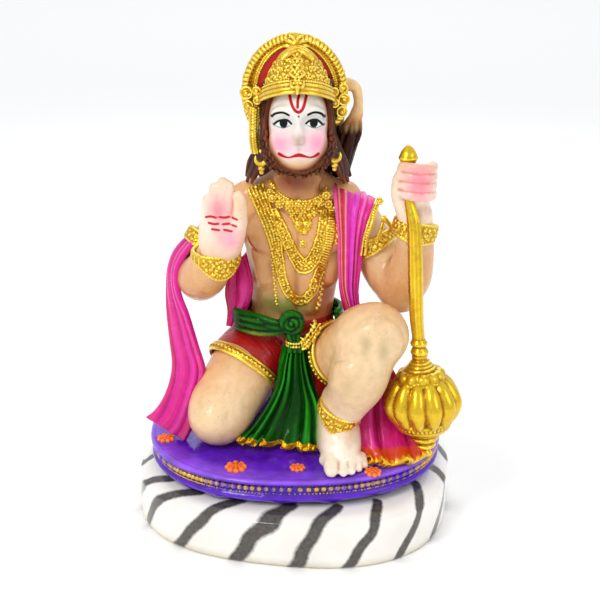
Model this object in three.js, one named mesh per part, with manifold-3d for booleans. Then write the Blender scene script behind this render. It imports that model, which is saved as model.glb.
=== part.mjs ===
// A kneeling monkey-god figure with a mace, cast in resin in one with its oval seat,
// and the striped oval plinth that the seat is glued to.
// Millimetres, +Z up. The figure faces -Y, and the origin is the middle of the plinth's underside.
import * as THREE from "three";
import { mergeVertices } from "three/addons/utils/BufferGeometryUtils.js";
import Module from "manifold-3d";

const wasm = await Module();
wasm.setup();

// Driving dimensions
const figureHeight = 165; // from the seat's top face to the top of the crown
const seatWidth = 123;
const seatDepth = 106;
const seatHeight = 12.5;
const seatSquareness = 2.3; // 2 is an ellipse, more is squarer
const seatFoot = 5.5; // how far the seat's underside lies in from its rim
const plinthWidth = 131;
const plinthDepth = 114;
const plinthHeight = 23;
const plinthSquareness = 2.5;
const plinthWall = 18.6; // height of the upright side, up to the crease
const plinthTurn = -11; // degrees: the plinth is glued on a little askew
const plinthLedge = 8; // width of the sloping ledge above the crease

// The figure is drawn in parts of its own height, with z = 0 on the seat.
const partsTall = 165;
const scale = figureHeight / partsTall;
const seatTop = plinthHeight + seatHeight;
const bury = 1.5; // how far a form that stands on the seat reaches into it, in parts

const point = (p) => new THREE.Vector3(p[0], p[1], p[2]);
const turn = Math.PI * 2;

// Six times the volume held by the triangles in an index, negative if they face inwards.
function held(positions, index, from, to) {
  let sum = 0;
  for (let k = from; k < to; k += 3) {
    const [a, b, c] = [0, 1, 2].map((i) => new THREE.Vector3().fromArray(positions, index[k + i] * 3));
    sum += a.dot(b.cross(c));
  }
  return sum;
}

// A geometry as a solid: only its positions count, and its faces are turned outwards.
function solid(geometry) {
  const bare = new THREE.BufferGeometry();
  bare.setAttribute("position", geometry.getAttribute("position"));
  bare.setIndex(geometry.index);
  const merged = mergeVertices(bare, 1e-4);
  const positions = new Float32Array(merged.attributes.position.array);
  const index = Uint32Array.from(merged.index.array);
  if (held(positions, index, 0, index.length) < 0) index.reverse();
  return new wasm.Manifold(new wasm.Mesh({ numProp: 3, vertProperties: positions, triVerts: index }));
}

// The geometry of a solid, for a mesh. Corners nearer than the grain become one, faces that this
// leaves with no area go, and hollows shut in between overlapping forms are left out.
const grain = 0.02;
function geometryOf(shape) {
  const { vertProperties, triVerts } = shape.getMesh();
  const cut = new THREE.BufferGeometry();
  cut.setAttribute("position", new THREE.BufferAttribute(vertProperties, 3));
  cut.setIndex(new THREE.BufferAttribute(triVerts, 1));
  const merged = mergeVertices(cut, grain);
  const positions = merged.attributes.position.array;
  const faces = new Map();
  for (let k = 0; k < merged.index.count; k += 3) {
    const face = [0, 1, 2].map((i) => merged.index.getX(k + i));
    if (new Set(face).size < 3) continue;
    const key = [...face].sort((a, b) => a - b).join();
    if (faces.has(key)) faces.delete(key);
    else faces.set(key, face);
  }
  const index = [...faces.values()].flat();
  const shell = Array.from({ length: positions.length / 3 }, (_, i) => i);
  const shellOf = (i) => {
    while (shell[i] !== i) i = shell[i] = shell[shell[i]];
    return i;
  };
  for (let k = 0; k < index.length; k += 3)
    for (const other of [1, 2]) shell[shellOf(index[k + other])] = shellOf(index[k]);
  const volume = new Map();
  for (let k = 0; k < index.length; k += 3) {
    const key = shellOf(index[k]);
    volume.set(key, (volume.get(key) ?? 0) + held(positions, index, k, k + 3));
  }
  const kept = index.filter((_, k) => volume.get(shellOf(index[k - (k % 3)])) > 0);
  const geometry = new THREE.BufferGeometry();
  geometry.setAttribute("position", new THREE.BufferAttribute(positions, 3));
  geometry.setIndex(kept);
  geometry.computeVertexNormals();
  return geometry;
}

const join = (shapes) => shapes.reduce((whole, shape) => whole.add(shape));

// The triangles that close a flat ring, as places in it.
function lid(ring) {
  const normal = new THREE.Vector3();
  ring.forEach((p, j) => normal.add(p.clone().cross(ring[(j + 1) % ring.length])));
  const u = ring[1].clone().sub(ring[0]).projectOnPlane(normal.normalize()).normalize();
  const v = normal.cross(u);
  return THREE.ShapeUtils.triangulateShape(ring.map((p) => new THREE.Vector2(p.dot(u), p.dot(v))), []);
}

// A closed solid through rings of equal length, its ends closed flat.
function loft(rings) {
  const n = rings[0].length;
  const last = (rings.length - 1) * n;
  const index = [];
  for (let ring = 0; ring < last; ring += n)
    for (let j = 0; j < n; j++) {
      const next = (j + 1) % n;
      index.push(ring + j, ring + next, ring + n + next);
      index.push(ring + j, ring + n + next, ring + n + j);
    }
  for (const [a, b, c] of lid(rings[0])) index.push(a, c, b);
  for (const [a, b, c] of lid(rings[rings.length - 1])) index.push(last + a, last + b, last + c);
  const geometry = new THREE.BufferGeometry().setFromPoints(rings.flat());
  geometry.setIndex(index);
  return solid(geometry);
}

// Rows of numbers drawn out into more rows, on a smooth curve through them.
function smooth(rows, between) {
  const out = [];
  for (let i = 0; i + 1 < rows.length; i++)
    for (let k = 0; k < between; k++) {
      const t = k / between;
      const [a, b, c, d] = [i - 1, i, i + 1, i + 2].map(
        (j) => rows[Math.min(Math.max(j, 0), rows.length - 1)],
      );
      out.push(
        b.map(
          (v, n) =>
            v +
            0.5 * t * (c[n] - a[n] + t * (2 * a[n] - 5 * v + 4 * c[n] - d[n] +
              t * (3 * (v - c[n]) + d[n] - a[n]))),
        ),
      );
    }
  out.push(rows[rows.length - 1]);
  return out;
}

// A round-ended limb through stations [x, y, z, radius], with oval sections if a second radius is given.
function limb(stations, { sides = 8, between = 1 } = {}) {
  const rows = smooth(stations.map((s) => [...s.slice(0, 4), s[4] ?? s[3]]), between);
  const middles = rows.map(point);
  const last = rows.length - 1;
  const along = rows.map((_, i) =>
    middles[Math.min(i + 1, last)].clone().sub(middles[Math.max(i - 1, 0)]).normalize(),
  );
  const rounding = 0.72;
  const ring = (i, outward, shrink) => {
    const [, , , wide, high] = rows[i];
    const side = new THREE.Vector3(1, 0, 0).projectOnPlane(along[i]);
    if (side.length() < 0.3) side.set(0, 1, 0).projectOnPlane(along[i]);
    side.normalize();
    const up = new THREE.Vector3().crossVectors(along[i], side);
    const middle = middles[i].clone().addScaledVector(along[i], outward * Math.min(wide, high));
    return Array.from({ length: sides }, (_, j) => {
      const a = (j / sides) * turn;
      return middle.clone()
        .addScaledVector(side, shrink * wide * Math.cos(a))
        .addScaledVector(up, shrink * high * Math.sin(a));
    });
  };
  return loft([
    ring(0, -rounding, rounding),
    ...rows.map((_, i) => ring(i, 0, 1)),
    ring(last, rounding, rounding),
  ]);
}

// An egg of half-sizes rx, ry, rz about a point.
function egg([x, y, z], [rx, ry, rz], sides = 8) {
  const ball = new THREE.SphereGeometry(1, sides, Math.ceil(sides * 0.5));
  return solid(ball.scale(rx, ry, rz).translate(x, y, z));
}

// A point of an oval outline that is squarer than an ellipse.
function superellipse(angle, a, b, squareness) {
  const bend = (value) => Math.sign(value) * Math.abs(value) ** (2 / squareness);
  return [a * bend(Math.cos(angle)), b * bend(Math.sin(angle))];
}

// Flat sections stacked up: [z, middle x, middle y, half width, half depth].
// With flutes, the outline waves in and out that many times.
function stack(sections, sides, { squareness = 2, flutes = 0, wave = 0.05 } = {}) {
  return loft(
    sections.map(([z, x, y, a, b]) =>
      Array.from({ length: sides }, (_, j) => {
        const angle = (j / sides) * turn;
        const swell = 1 + wave * Math.cos(flutes * angle) * Math.sign(flutes);
        const [u, v] = superellipse(angle, a * swell, b * swell, squareness);
        return point([x + u, y + v, z]);
      }),
    ),
  );
}

// Cloth between a left and a right edge, given as stations [x, y, z, x, y, z], with folds along it.
function drape(stations, { folds, depth, thick, between = 1 }) {
  const rows = smooth(stations, between);
  const lefts = rows.map((r) => point(r));
  const rights = rows.map((r) => point(r.slice(3)));
  const across = folds * 2;
  const backs = 2;
  return loft(
    rows.map((_, i) => {
      const middle = (k) => lefts[k].clone().add(rights[k]);
      const along = middle(Math.min(i + 1, rows.length - 1)).sub(middle(Math.max(i - 1, 0)));
      const width = rights[i].clone().sub(lefts[i]);
      const out = new THREE.Vector3().crossVectors(along, width).normalize();
      const spot = (t, rise) => lefts[i].clone().addScaledVector(width, t).addScaledVector(out, rise);
      const front = Array.from({ length: across + 1 }, (_, j) => {
        const uneven = 0.35 * Math.sin(2.4 * j) * Math.sign(j * (across - j));
        return spot((j + uneven) / across, j % 2 ? depth * (1 + 0.4 * Math.sin(1.7 * j)) : 0);
      });
      const back = Array.from({ length: backs + 1 }, (_, j) => spot(1 - j / backs, -thick));
      return [...front, ...back];
    }),
  );
}

// Plinth: a plain oval block with an upright side and a sloping ledge above a crease.
function plinth() {
  const edge = 1.2;
  const profile = [
    [edge, 0],
    [0, edge],
    [0, plinthWall],
    [plinthLedge * 0.45, plinthWall + (plinthHeight - plinthWall) * 0.62],
    [plinthLedge, plinthHeight],
  ];
  const block = profile.map(([inset, z]) => [z, 0, 0, plinthWidth / 2 - inset, plinthDepth / 2 - inset]);
  return stack(block, 36, { squareness: plinthSquareness });
}

// Seat: an oval slab with a rim, a recessed band, a flange and an undercut foot.
function seat() {
  const rimHeight = 2;
  const flangeTop = seatHeight * 0.42;
  const flangeFoot = seatHeight * 0.2;
  const profile = [
    [seatFoot, 0],
    [2.4, flangeFoot],
    [0.9, flangeTop],
    [1.6, seatHeight - rimHeight],
    [0, seatHeight - rimHeight + 0.6],
    [0.9, seatHeight],
  ];
  const slab = profile.map(([inset, z]) => [
    z + plinthHeight, 0, 0, seatWidth / 2 - inset, seatDepth / 2 - inset,
  ]);
  return stack(slab, 34, { squareness: seatSquareness });
}

function trunk() {
  const body = stack(
    [
      [46, -1.5, 6.4, 17, 12],
      [62, -0.5, 6, 18.5, 12.5],
      [76, 0.5, 5.4, 21.5, 14],
      [86, 1, 5.8, 23, 14],
      [96, 1, 7, 20, 10.5],
      [101.5, 1, 7, 12, 8],
    ],
    14,
    { squareness: 2.2 },
  );
  const neck = limb([[1, 6, 97, 9], [1, 0, 114, 8]]);
  return body.add(neck);
}

// Head: a smooth round face with a broad muzzle and a small nose.
function head() {
  const skull = egg([1, -3.5, 132], [12.4, 14.5, 17], 12);
  const jaw = egg([1, -9, 121.5], [11.6, 10.4, 9], 8);
  const muzzle = egg([1, -13.6, 121.6], [10.6, 8.6, 7], 10);
  const nose = limb([[1, -16.6, 134, 1.5], [1, -20.6, 128.6, 1.9], [1, -21.6, 126.4, 2.5]], { sides: 5 });
  return join([skull, jaw, muzzle, nose]);
}

// Hair: a fringe of beard round the jaw, locks beside the cheeks and a mane of locks down the back.
function hair() {
  const beard = limb(
    [
      [-12.4, -5, 130, 2],
      [-11.6, -9, 119, 2.8],
      [-7, -13.6, 113, 3.2],
      [1, -16, 111.4, 3.4],
      [9, -13.6, 113, 3.2],
      [13.6, -9, 119, 2.8],
      [14.4, -5, 130, 2],
    ],
    { sides: 5 },
  );
  const sideLocks = [-1, 1].map((s) =>
    limb(
      [
        [1 + s * 12, -7, 144, 2.6],
        [1 + s * 13.2, -6.5, 130, 3],
        [1 + s * 14.6, -3, 117, 3.8],
        [1 + s * 18.4, 2, 103, 3.4],
      ],
      { sides: 5 },
    ),
  );
  const mane = stack(
    [
      [92, 1, 16.5, 8, 2.4],
      [98, 1, 13.6, 16.6, 6.6],
      [112, 1, 10.6, 17.6, 8.6],
      [146, 1, 4, 14, 9],
    ],
    16,
    { flutes: 8, wave: 0.09 },
  );
  return join([beard, ...sideLocks, mane]);
}

// Crown: a domed cap tipped back, a ribbed halo behind it, and two bosses at each temple.
function crown() {
  const lean = 0.3; // radians that the cap leans back
  const profile = [
    [0, -4], [14.6, -1.5], [15.8, 0.4], [15.8, 2.4], [14.4, 3.6], [14.4, 8.4], [11.8, 13.2], [0, 18.4],
  ].map(([r, z]) => new THREE.Vector2(r, z));
  const cap = new THREE.LatheGeometry(profile, 14).rotateX(Math.PI / 2);
  const dome = solid(cap.scale(1, 1.08, 1).rotateX(-lean).translate(1, -3.6, 142));
  const haloMiddle = [-0.1, 140.5];
  const haloReach = [21.8, 23];
  const haloLow = -0.62; // radians below the level at which the halo's ends stop
  const ribs = 18;
  const haloProfile = [
    [0.02, 3], [0.76, 3], [0.86, 1], [1, 1.8], [0.98, 5.4], [0.02, 6.4],
  ]; // share of the reach, and y
  const halo = loft(
    Array.from({ length: ribs + 1 }, (_, i) => {
      const a = haloLow + ((Math.PI - 2 * haloLow) * i) / ribs;
      const rib = i % 2 ? 1 : 0.98;
      return haloProfile.map(([share, y]) =>
        point([
          haloMiddle[0] + share * rib * haloReach[0] * Math.cos(a),
          y,
          haloMiddle[1] + share * rib * haloReach[1] * Math.sin(a),
        ]),
      );
    }),
  );
  const plume = egg([0, 1.5, 161.2], [3, 2.6, 3.6], 6);
  const bosses = [-1, 1].flatMap((s) => [
    egg([0.4 + s * 18.6, 0, 141.5], [3.4, 3.2, 3.2], 6),
    egg([0.4 + s * 16.8, -0.4, 135], [3.2, 3, 3.2], 6),
  ]);
  return join([dome, halo, plume, ...bosses]);
}

// The tail climbs the back, loops over beside the crown and ends in a tuft.
function tail() {
  const rise = limb(
    [
      [-1, 19, 26, 4.6],
      [1, 23.5, 44, 4.4],
      [6, 24.5, 72, 4.2],
      [13, 23, 100, 4],
      [15.5, 19, 122, 3.8],
      [15.6, 14, 138, 3.6],
      [18.8, 12, 143.4, 3.4],
      [22.4, 12, 140.6, 3.2],
      [23.4, 11.5, 130, 3.2],
    ],
    { sides: 6 },
  );
  const tuft = limb(
    [
      [23, 11.5, 129, 3.6],
      [20.6, 11, 122, 4.8],
      [18.4, 10, 114, 4.6],
      [17.2, 9, 107, 3.2],
    ],
    { sides: 6 },
  );
  return join([rise, tuft]);
}

// The raised right arm with its band, deep cuff and open hand.
function blessingArm() {
  const upper = limb(
    [
      [-20, 7.5, 91, 9.5],
      [-30.6, 6, 83.4, 9],
      [-31, 5.8, 83, 10.2],
      [-35.4, 4, 77.6, 9.8],
      [-35.8, 3.8, 77.2, 8.4],
      [-39, 0.5, 66, 8.2],
    ],
  );
  const fore = limb([[-38.6, 1, 66, 8.6], [-36, -8, 69, 9], [-32.5, -16, 75, 8.4], [-29.5, -21, 82, 7.4]]);
  const palm = egg([-27.6, -23.8, 90], [8, 5, 12.5]);
  const fingers = handOfFingers([-27.8, -25.4], [[92, 7.4], [101, 7.6], [107, 7.8]], [1.6, 5.2, 5.4, 1.8]);
  const thumb = limb([[-22, -23.6, 90, 3.2], [-20, -26, 99, 2.8], [-20.4, -26.6, 105, 2.2]], { sides: 5 });
  const cuff = pointedCuff([-28.8, -17.2, 76.6], [10.2, 8.6], 5);
  return join([upper, fore, palm, fingers, thumb, cuff]);
}

// Four upright fingers side by side: [z, half width] rings, then each finger's reach above the last.
function handOfFingers([x, y], levels, reaches) {
  const thick = 2.6;
  const perFinger = 2;
  const steps = reaches.length * perFinger;
  const ring = (z, half, shrink, lift) => {
    const across = Array.from({ length: steps + 1 }, (_, j) => (j / steps) * 2 - 1);
    const rise = (j) => lift * reaches[Math.min(Math.floor(j / perFinger), reaches.length - 1)];
    const deep = (j) => shrink * thick * (j % perFinger ? 1 : 0.45);
    const front = across.map((t, j) => point([x + shrink * half * t, y - deep(j), z + rise(j)]));
    const back = [1, -1].map((t) =>
      point([x + shrink * half * t * 0.8, y + shrink * thick, z + lift * 3.4]),
    );
    return [...front, ...back];
  };
  const [, half] = levels[levels.length - 1];
  const [top] = levels[levels.length - 1];
  return loft([...levels.map(([z, wide]) => ring(z, wide, 1, 0)), ring(top, half * 0.97, 0.96, 0.8), ring(top + 1, half, 0.6, 1)]);
}

// A deep cuff whose lower edge comes to a point in front.
function pointedCuff([x, y, z], [wide, deep], drop) {
  const sides = 10;
  const ring = (lift, grow, dip) =>
    Array.from({ length: sides }, (_, j) => {
      const a = (j / sides) * turn;
      const front = Math.max(0, -Math.sin(a));
      const level = z + lift + 3 * Math.sin(a) - dip * front ** 3;
      return point([x + (wide + grow) * Math.cos(a), y + (deep + grow) * Math.sin(a), level]);
    });
  return loft([ring(4.4, -1, 0), ring(3.6, 0, 0), ring(-1.8, 0.4, drop), ring(-2.6, -0.8, drop)]);
}

// The left arm, bent up, with its band and cuff, and the fist round the mace.
function maceArm() {
  const upper = limb(
    [
      [22, 7.5, 89, 9.4],
      [30, 5, 79.4, 9.4],
      [30.4, 4.8, 79, 10.4],
      [34, 3, 74, 10.8],
      [34.4, 2.8, 73.6, 10],
      [38.4, -1, 67.6, 10.2],
      [42.8, -7, 62.4, 8.8],
    ],
  );
  const fore = limb(
    [
      [43.2, -8, 62, 8.8],
      [46, -11.5, 72, 9],
      [47, -14.6, 82, 8],
      [47, -14.8, 82.6, 9.2],
      [46.8, -16.4, 88, 9],
      [46.8, -16.6, 88.6, 7.6],
      [46.4, -19, 98, 7],
    ],
    { sides: 10 },
  );
  const fist = gripped([46, -22.6, 99.4], [8.2, 7.2], 4.3, 4);
  const thumb = limb([[40.4, -21, 101, 3], [39.2, -25.6, 109, 2.6]], { sides: 5 });
  return join([upper, fore, fist, thumb]);
}

// A closed fist: a rounded block whose front is rolled into a stack of fingers.
function gripped([x, y, z], [wide, deep], pitch, count) {
  const sides = 10;
  const ring = (level, shrink, groove) =>
    Array.from({ length: sides }, (_, j) => {
      const a = (j / sides) * turn;
      const reach = shrink * (1 - groove * Math.max(0, 0.4 - Math.sin(a)));
      const [u, v] = superellipse(a, wide * reach, deep * reach, 2.4);
      return point([x + u, y + v, z + level]);
    });
  const rings = [ring(-1.6, 0.7, 0)];
  for (let i = 0; i < count; i++) rings.push(ring(i * pitch + 0.1, 0.9, 0.12), ring((i + 0.5) * pitch, 1, 0));
  rings.push(ring(count * pitch, 0.86, 0.08), ring(count * pitch + 1.4, 0.5, 0));
  return loft(rings);
}

// Mace: a lobed head on a turned foot, a waisted neck with collars, and a slightly bowed shaft.
function mace() {
  const foot = point([53.8, -27.5, 0]);
  const lean = new THREE.Euler(0.02, -0.1, 0);
  const lobes = 12;
  const furrow = 0.13; // depth of the furrow between two lobes, as a share of the radius
  const lobedFrom = 13;
  const lobedTo = 36;
  const profile = [
    [3, 4], [6.8, 8], [12.6, 17], [14.3, 25], [12.4, 32.4], [7.4, 39.6], [2.8, 44],
  ];
  const bulb = loft(
    profile.map(([r, z]) =>
      Array.from({ length: lobes * 2 }, (_, j) => {
        const a = (j / (lobes * 2)) * turn;
        const reach = j % 2 && z > lobedFrom && z < lobedTo ? r * (1 - furrow) : r;
        return point([reach * Math.cos(a), reach * Math.sin(a), z]).applyEuler(lean).add(foot);
      }),
    ),
  );
  const ferrule = limb([[53.8, -27.5, 1.4, 3], [53.4, -27.5, 6, 2.6]]);
  const shaft = limb(
    [
      [49.9, -28.4, 40, 3],
      [49.2, -28.6, 45.4, 3],
      [49, -28.6, 46.6, 4.9],
      [48.9, -28.6, 47.8, 3.6],
      [48.8, -28.7, 49.4, 4.4],
      [48.7, -28.7, 50.6, 2.9],
      [46.2, -29.4, 76, 3],
      [44, -28, 98, 2.5],
      [42.6, -25.6, 118, 2.3],
      [42.5, -25.5, 118.8, 3.5],
      [42.4, -25.3, 122.4, 3.7],
      [42.3, -25.2, 125.4, 1.4],
    ],
  );
  return join([bulb, ferrule, shaft]);
}

// The right leg kneels, with its shin and foot behind; the left knee is up.
function legs() {
  const hem = 1.2; // how far the drawers stand out from the thigh
  const kneelingThigh = limb(
    [
      [-10, 7, 33, 14.8 + hem],
      [-18.6, -1.4, 28.2, 15.4 + hem],
      [-19, -1.8, 28, 15.2],
      [-27, -11, 19.6, 14.6],
    ],
    { sides: 10 },
  );
  const knee = egg([-31, -17, 12], [13.2, 14, 13]);
  const shin = limb([[-30.6, -10, 9.4, 10], [-24, 8, 8.4, 9.4], [-16, 25, 8, 7]]);
  const tuckedFoot = limb([[-15.6, 26, 11, 6.4], [-14, 33, 2, 4.8]], { sides: 7 });
  const raisedThigh = limb(
    [
      [6, 6, 27, 14.4 + hem],
      [11.6, -3, 30.6, 14.8 + hem],
      [12, -3.6, 30.8, 14.6],
      [20.5, -17, 39.6, 15],
      [29, -27, 50, 15],
    ],
    { sides: 10 },
  );
  const calf = limb(
    [
      [30.4, -33, 52, 12.6],
      [27.4, -34, 40, 13.6],
      [21.6, -30.6, 25.6, 11],
      [20, -29.6, 20.2, 8.8],
      [19.9, -29.6, 19.8, 10.2],
      [18.9, -28.2, 14, 8.8],
      [18.8, -28, 13.6, 7],
      [18.8, -26.5, 6, 6.4],
    ],
    { sides: 10 },
  );
  const foot = limb([[19.2, -24, 4.4, 6, 5.6], [19, -33, 4.4, 7, 6], [19.2, -43.4, 2, 8, 3.4]]);
  return join([kneelingThigh, knee, shin, tuckedFoot, raisedThigh, calf, foot]);
}

// The drawers round the hips, and the sash over them with its knot and pleated fall.
function lowerDress() {
  const hips = stack(
    [
      [11, -5, 15, 12, 9],
      [17, -3, 12, 17, 13],
      [26, -2, 9, 20.5, 15.4],
      [38, -2, 7.4, 20, 15],
      [42, -2, 6.8, 18.4, 13.4],
      [44, -1.8, 6.6, 20.6, 15.4],
      [49, -1.6, 6.2, 20, 14.8],
      [51.4, -1.6, 6, 17.4, 12.4],
    ],
    14,
    { squareness: 2.2 },
  );
  const knot = egg([-1.2, -9.6, 51.6], [5.2, 5, 5.2]);
  const bow = egg([-0.8, -10.4, 44.4], [3.8, 5, 2.8], 6);
  const fall = drape(
    [
      [-4, -12.5, 46, 3, -12.5, 46],
      [-6, -17.5, 36, 5, -17.5, 36],
      [-10, -25, 21, 7, -25.5, 21],
      [-16, -32, 8, 8.6, -33, 7],
      [-20.6, -35, -bury, 10.4, -36, -bury],
    ],
    { folds: 4, depth: 1.7, thick: 6 },
  );
  const hangingCloth = drape(
    [
      [4, -12, 38, 12, -8, 38],
      [6, -24, 20, 18, -16, 20],
      [8, -27, -bury, 20, -18, -bury],
    ],
    { folds: 2, depth: 1, thick: 9 },
  );
  return join([hips, knot, bow, fall, hangingCloth]);
}

// Shawl: over the left shoulder, across the back, over the right forearm and down both sides.
function shawl() {
  const shoulderFall = drape(
    [
      [12, 15, 97, 30, 13, 92],
      [13, 5, 103, 30.5, 4, 97],
      [14, -5, 97, 30, -4, 92],
      [16.5, -9.4, 82, 27, -7, 79],
      [18, -9, 48, 26, -6, 47],
    ],
    { folds: 2, depth: 1.6, thick: 6 },
  );
  const acrossBack = drape(
    [
      [29, 12, 90, 12, 14, 97],
      [25, 19, 82, 3, 21, 92],
      [8, 21, 60, -14, 19, 74],
      [-18, 15, 44, -28, 8, 58],
    ],
    { folds: 2, depth: 1.6, thick: 6 },
  );
  const underArm = drape([[-31, -3, 72, -21, -2, 76], [-27, 3, 42, -17, 0, 46]], { folds: 2, depth: 1.2, thick: 5 });
  const overArm = drape(
    [
      [-25, 13, 60, -20, 2, 78],
      [-35, 14, 78, -31, 2, 89],
      [-47, 10, 72, -44.4, -4, 76],
      [-52, 6, 64, -48.4, -7, 64],
    ],
    { folds: 2, depth: 0.8, thick: 3.4 },
  );
  const longFall = drape(
    [
      [-51.4, 7, 67, -47.4, -7, 67],
      [-54, 3, 56, -44.6, -8, 55],
      [-52.5, -1, 38, -41, -9, 37],
      [-50.6, -5, 26, -37, -12, 25],
      [-52, -9, 14, -38, -16, 13],
      [-58, -10, 3.6, -41, -20, -bury],
    ],
    { folds: 3, depth: 1.4, thick: 5 },
  );
  const tip = limb([[-50, -10, 4, 4], [-57, -9, 6.4, 2.4], [-61.4, -8, 9, 1]], { sides: 5 });
  const kneeFall = drape(
    [
      [30, -20, 38, 41, -14, 36],
      [30, -27, 26, 46, -18, 23],
      [28, -36, -bury, 54, -26, -bury],
    ],
    { folds: 4, depth: 1.7, thick: 7 },
  );
  return join([shoulderFall, acrossBack, underArm, overArm, longFall, tip, kneeFall]);
}

// Necklaces: each hangs as a bow in front of the chest and is then laid back against it.
function necklaces(chest) {
  const body = new THREE.Mesh(geometryOf(chest), new THREE.MeshBasicMaterial({ side: THREE.DoubleSide }));
  const ray = new THREE.Raycaster();
  const onChest = (x, z) => {
    ray.set(new THREE.Vector3(x, -60, z), new THREE.Vector3(0, 1, 0));
    return ray.intersectObject(body)[0].point.y;
  };
  const garland = (left, right, top, bottom, sag, r, count) =>
    limb(
      Array.from({ length: count + 1 }, (_, i) => {
        const s = (i / count) * 2 - 1;
        const x = (left + right) / 2 + ((right - left) / 2) * s;
        const z = bottom + (top - bottom) * Math.abs(s) ** sag;
        return [x, onChest(x, z) - r * 0.2, z, r];
      }),
      { sides: 4 },
    );
  const collar = garland(-10, 13, 100, 92, 1.8, 2.6, 4);
  const middle = garland(-15, 12, 98, 74, 1.3, 2.2, 6);
  const pendant = egg([0.6, onChest(0.6, 90) - 0.2, 90], [4.8, 2, 4.8], 6);
  return join([collar, middle, pendant]);
}

function figure() {
  const body = trunk();
  const cast = join([
    body,
    head(),
    hair(),
    crown(),
    tail(),
    blessingArm(),
    maceArm(),
    mace(),
    legs(),
    lowerDress(),
    shawl(),
    necklaces(body),
  ]);
  const placed = geometryOf(cast).scale(scale, scale, scale).translate(0, 0, seatTop);
  return seat().add(solid(placed));
}

const root = new THREE.Group();

function addPiece(name, shape, color, roughness) {
  const mesh = new THREE.Mesh(
    geometryOf(shape),
    new THREE.MeshStandardMaterial({ color, roughness, metalness: 0 }),
  );
  mesh.name = name;
  root.add(mesh);
  return mesh;
}

addPiece("figure", figure(), 0xd9b48f, 0.4);
addPiece("plinth", plinth(), 0xece8df, 0.3).rotation.z = THREE.MathUtils.degToRad(plinthTurn);

export default root;
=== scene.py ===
from math import cos, pi, radians, sin

import bmesh
import bpy
import numpy as np
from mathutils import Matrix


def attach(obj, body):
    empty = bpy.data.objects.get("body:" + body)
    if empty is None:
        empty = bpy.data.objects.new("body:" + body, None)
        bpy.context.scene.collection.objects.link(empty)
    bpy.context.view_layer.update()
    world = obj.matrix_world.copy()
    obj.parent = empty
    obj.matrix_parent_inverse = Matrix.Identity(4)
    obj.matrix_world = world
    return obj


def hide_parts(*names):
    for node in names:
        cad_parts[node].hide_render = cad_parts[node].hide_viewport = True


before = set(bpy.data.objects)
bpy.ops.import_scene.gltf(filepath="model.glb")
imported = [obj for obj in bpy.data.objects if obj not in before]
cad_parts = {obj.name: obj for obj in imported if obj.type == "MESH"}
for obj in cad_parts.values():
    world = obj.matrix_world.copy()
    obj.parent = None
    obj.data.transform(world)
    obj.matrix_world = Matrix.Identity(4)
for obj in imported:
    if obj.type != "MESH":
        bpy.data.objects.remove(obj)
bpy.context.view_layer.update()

import openvdb
from mathutils import Euler, Vector

# Studio: a plain pale floor, a soft lamp at the front left, a fill at the right, one behind and one
# over the background, and the photograph's camera, a long lens a little above the figure.
scene = bpy.context.scene
scene.view_settings.view_transform = "Standard"
lens = bpy.data.cameras.new("camera")
lens.lens = 69.6
camera = bpy.data.objects.new("camera", lens)
camera.location = (0.002, -0.45, 0.255)
camera.rotation_euler = (radians(70), 0, 0)
scene.collection.objects.link(camera)
scene.camera = camera


def linear(code):
    """An sRGB hex colour as linear red, green and blue."""
    shares = [int(code[i : i + 2], 16) / 255 for i in (1, 3, 5)]
    return [s / 12.92 if s <= 0.04045 else ((s + 0.055) / 1.055) ** 2.4 for s in shares]


def node(material, kind, inputs={}, **settings):
    """Adds a shader node; each input is a value or the output of another node."""
    made = material.node_tree.nodes.new("ShaderNode" + kind)
    for key, value in settings.items():
        setattr(made, key, value)
    for key, value in inputs.items():
        if isinstance(value, bpy.types.NodeSocket):
            material.node_tree.links.new(value, made.inputs[key])
        else:
            made.inputs[key].default_value = value
    return made


figure_middle = Vector((0, 0, 0.09))
for name, place, size, power, tint in [
    ("key lamp", (-0.3, -0.4, 0.5), 0.2, 1.5, "#fffaf2"),
    ("fill lamp", (0.45, -0.34, 0.34), 0.24, 0.4, "#f6f9ff"),
    ("back lamp", (0.1, 0.5, 0.55), 0.5, 0.9, "#ffffff"),
    ("background lamp", (0, 1.9, 1.7), 2, 5.5, "#ffffff"),
]:
    lamp = bpy.data.lights.new(name, "AREA")
    lamp.size = size
    lamp.energy = power
    lamp.color = linear(tint)
    holder = bpy.data.objects.new(name, lamp)
    holder.location = place
    if name != "background lamp":
        holder.rotation_euler = (figure_middle - holder.location).to_track_quat("-Z", "Y").to_euler()
    scene.collection.objects.link(holder)
world = bpy.data.worlds.new("studio")
world.use_nodes = True
world.node_tree.nodes["Background"].inputs["Color"].default_value = (*linear("#fbfcff"), 1)
world.node_tree.nodes["Background"].inputs["Strength"].default_value = 0.88
scene.world = world

floor_paper = bpy.data.materials.new("white background paper")
floor_paper.use_nodes = True
paper = floor_paper.node_tree.nodes["Principled BSDF"]
paper.inputs["Base Color"].default_value = (*linear("#fdfdfc"), 1)
paper.inputs["Roughness"].default_value = 0.9

floor_mesh = bpy.data.meshes.new("floor")
sheet = bmesh.new()
bmesh.ops.create_grid(sheet, x_segments=1, y_segments=1, size=4)
sheet.to_mesh(floor_mesh)
floor_mesh.materials.append(floor_paper)
floor = bpy.data.objects.new("floor", floor_mesh)
scene.collection.objects.link(floor)


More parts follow.
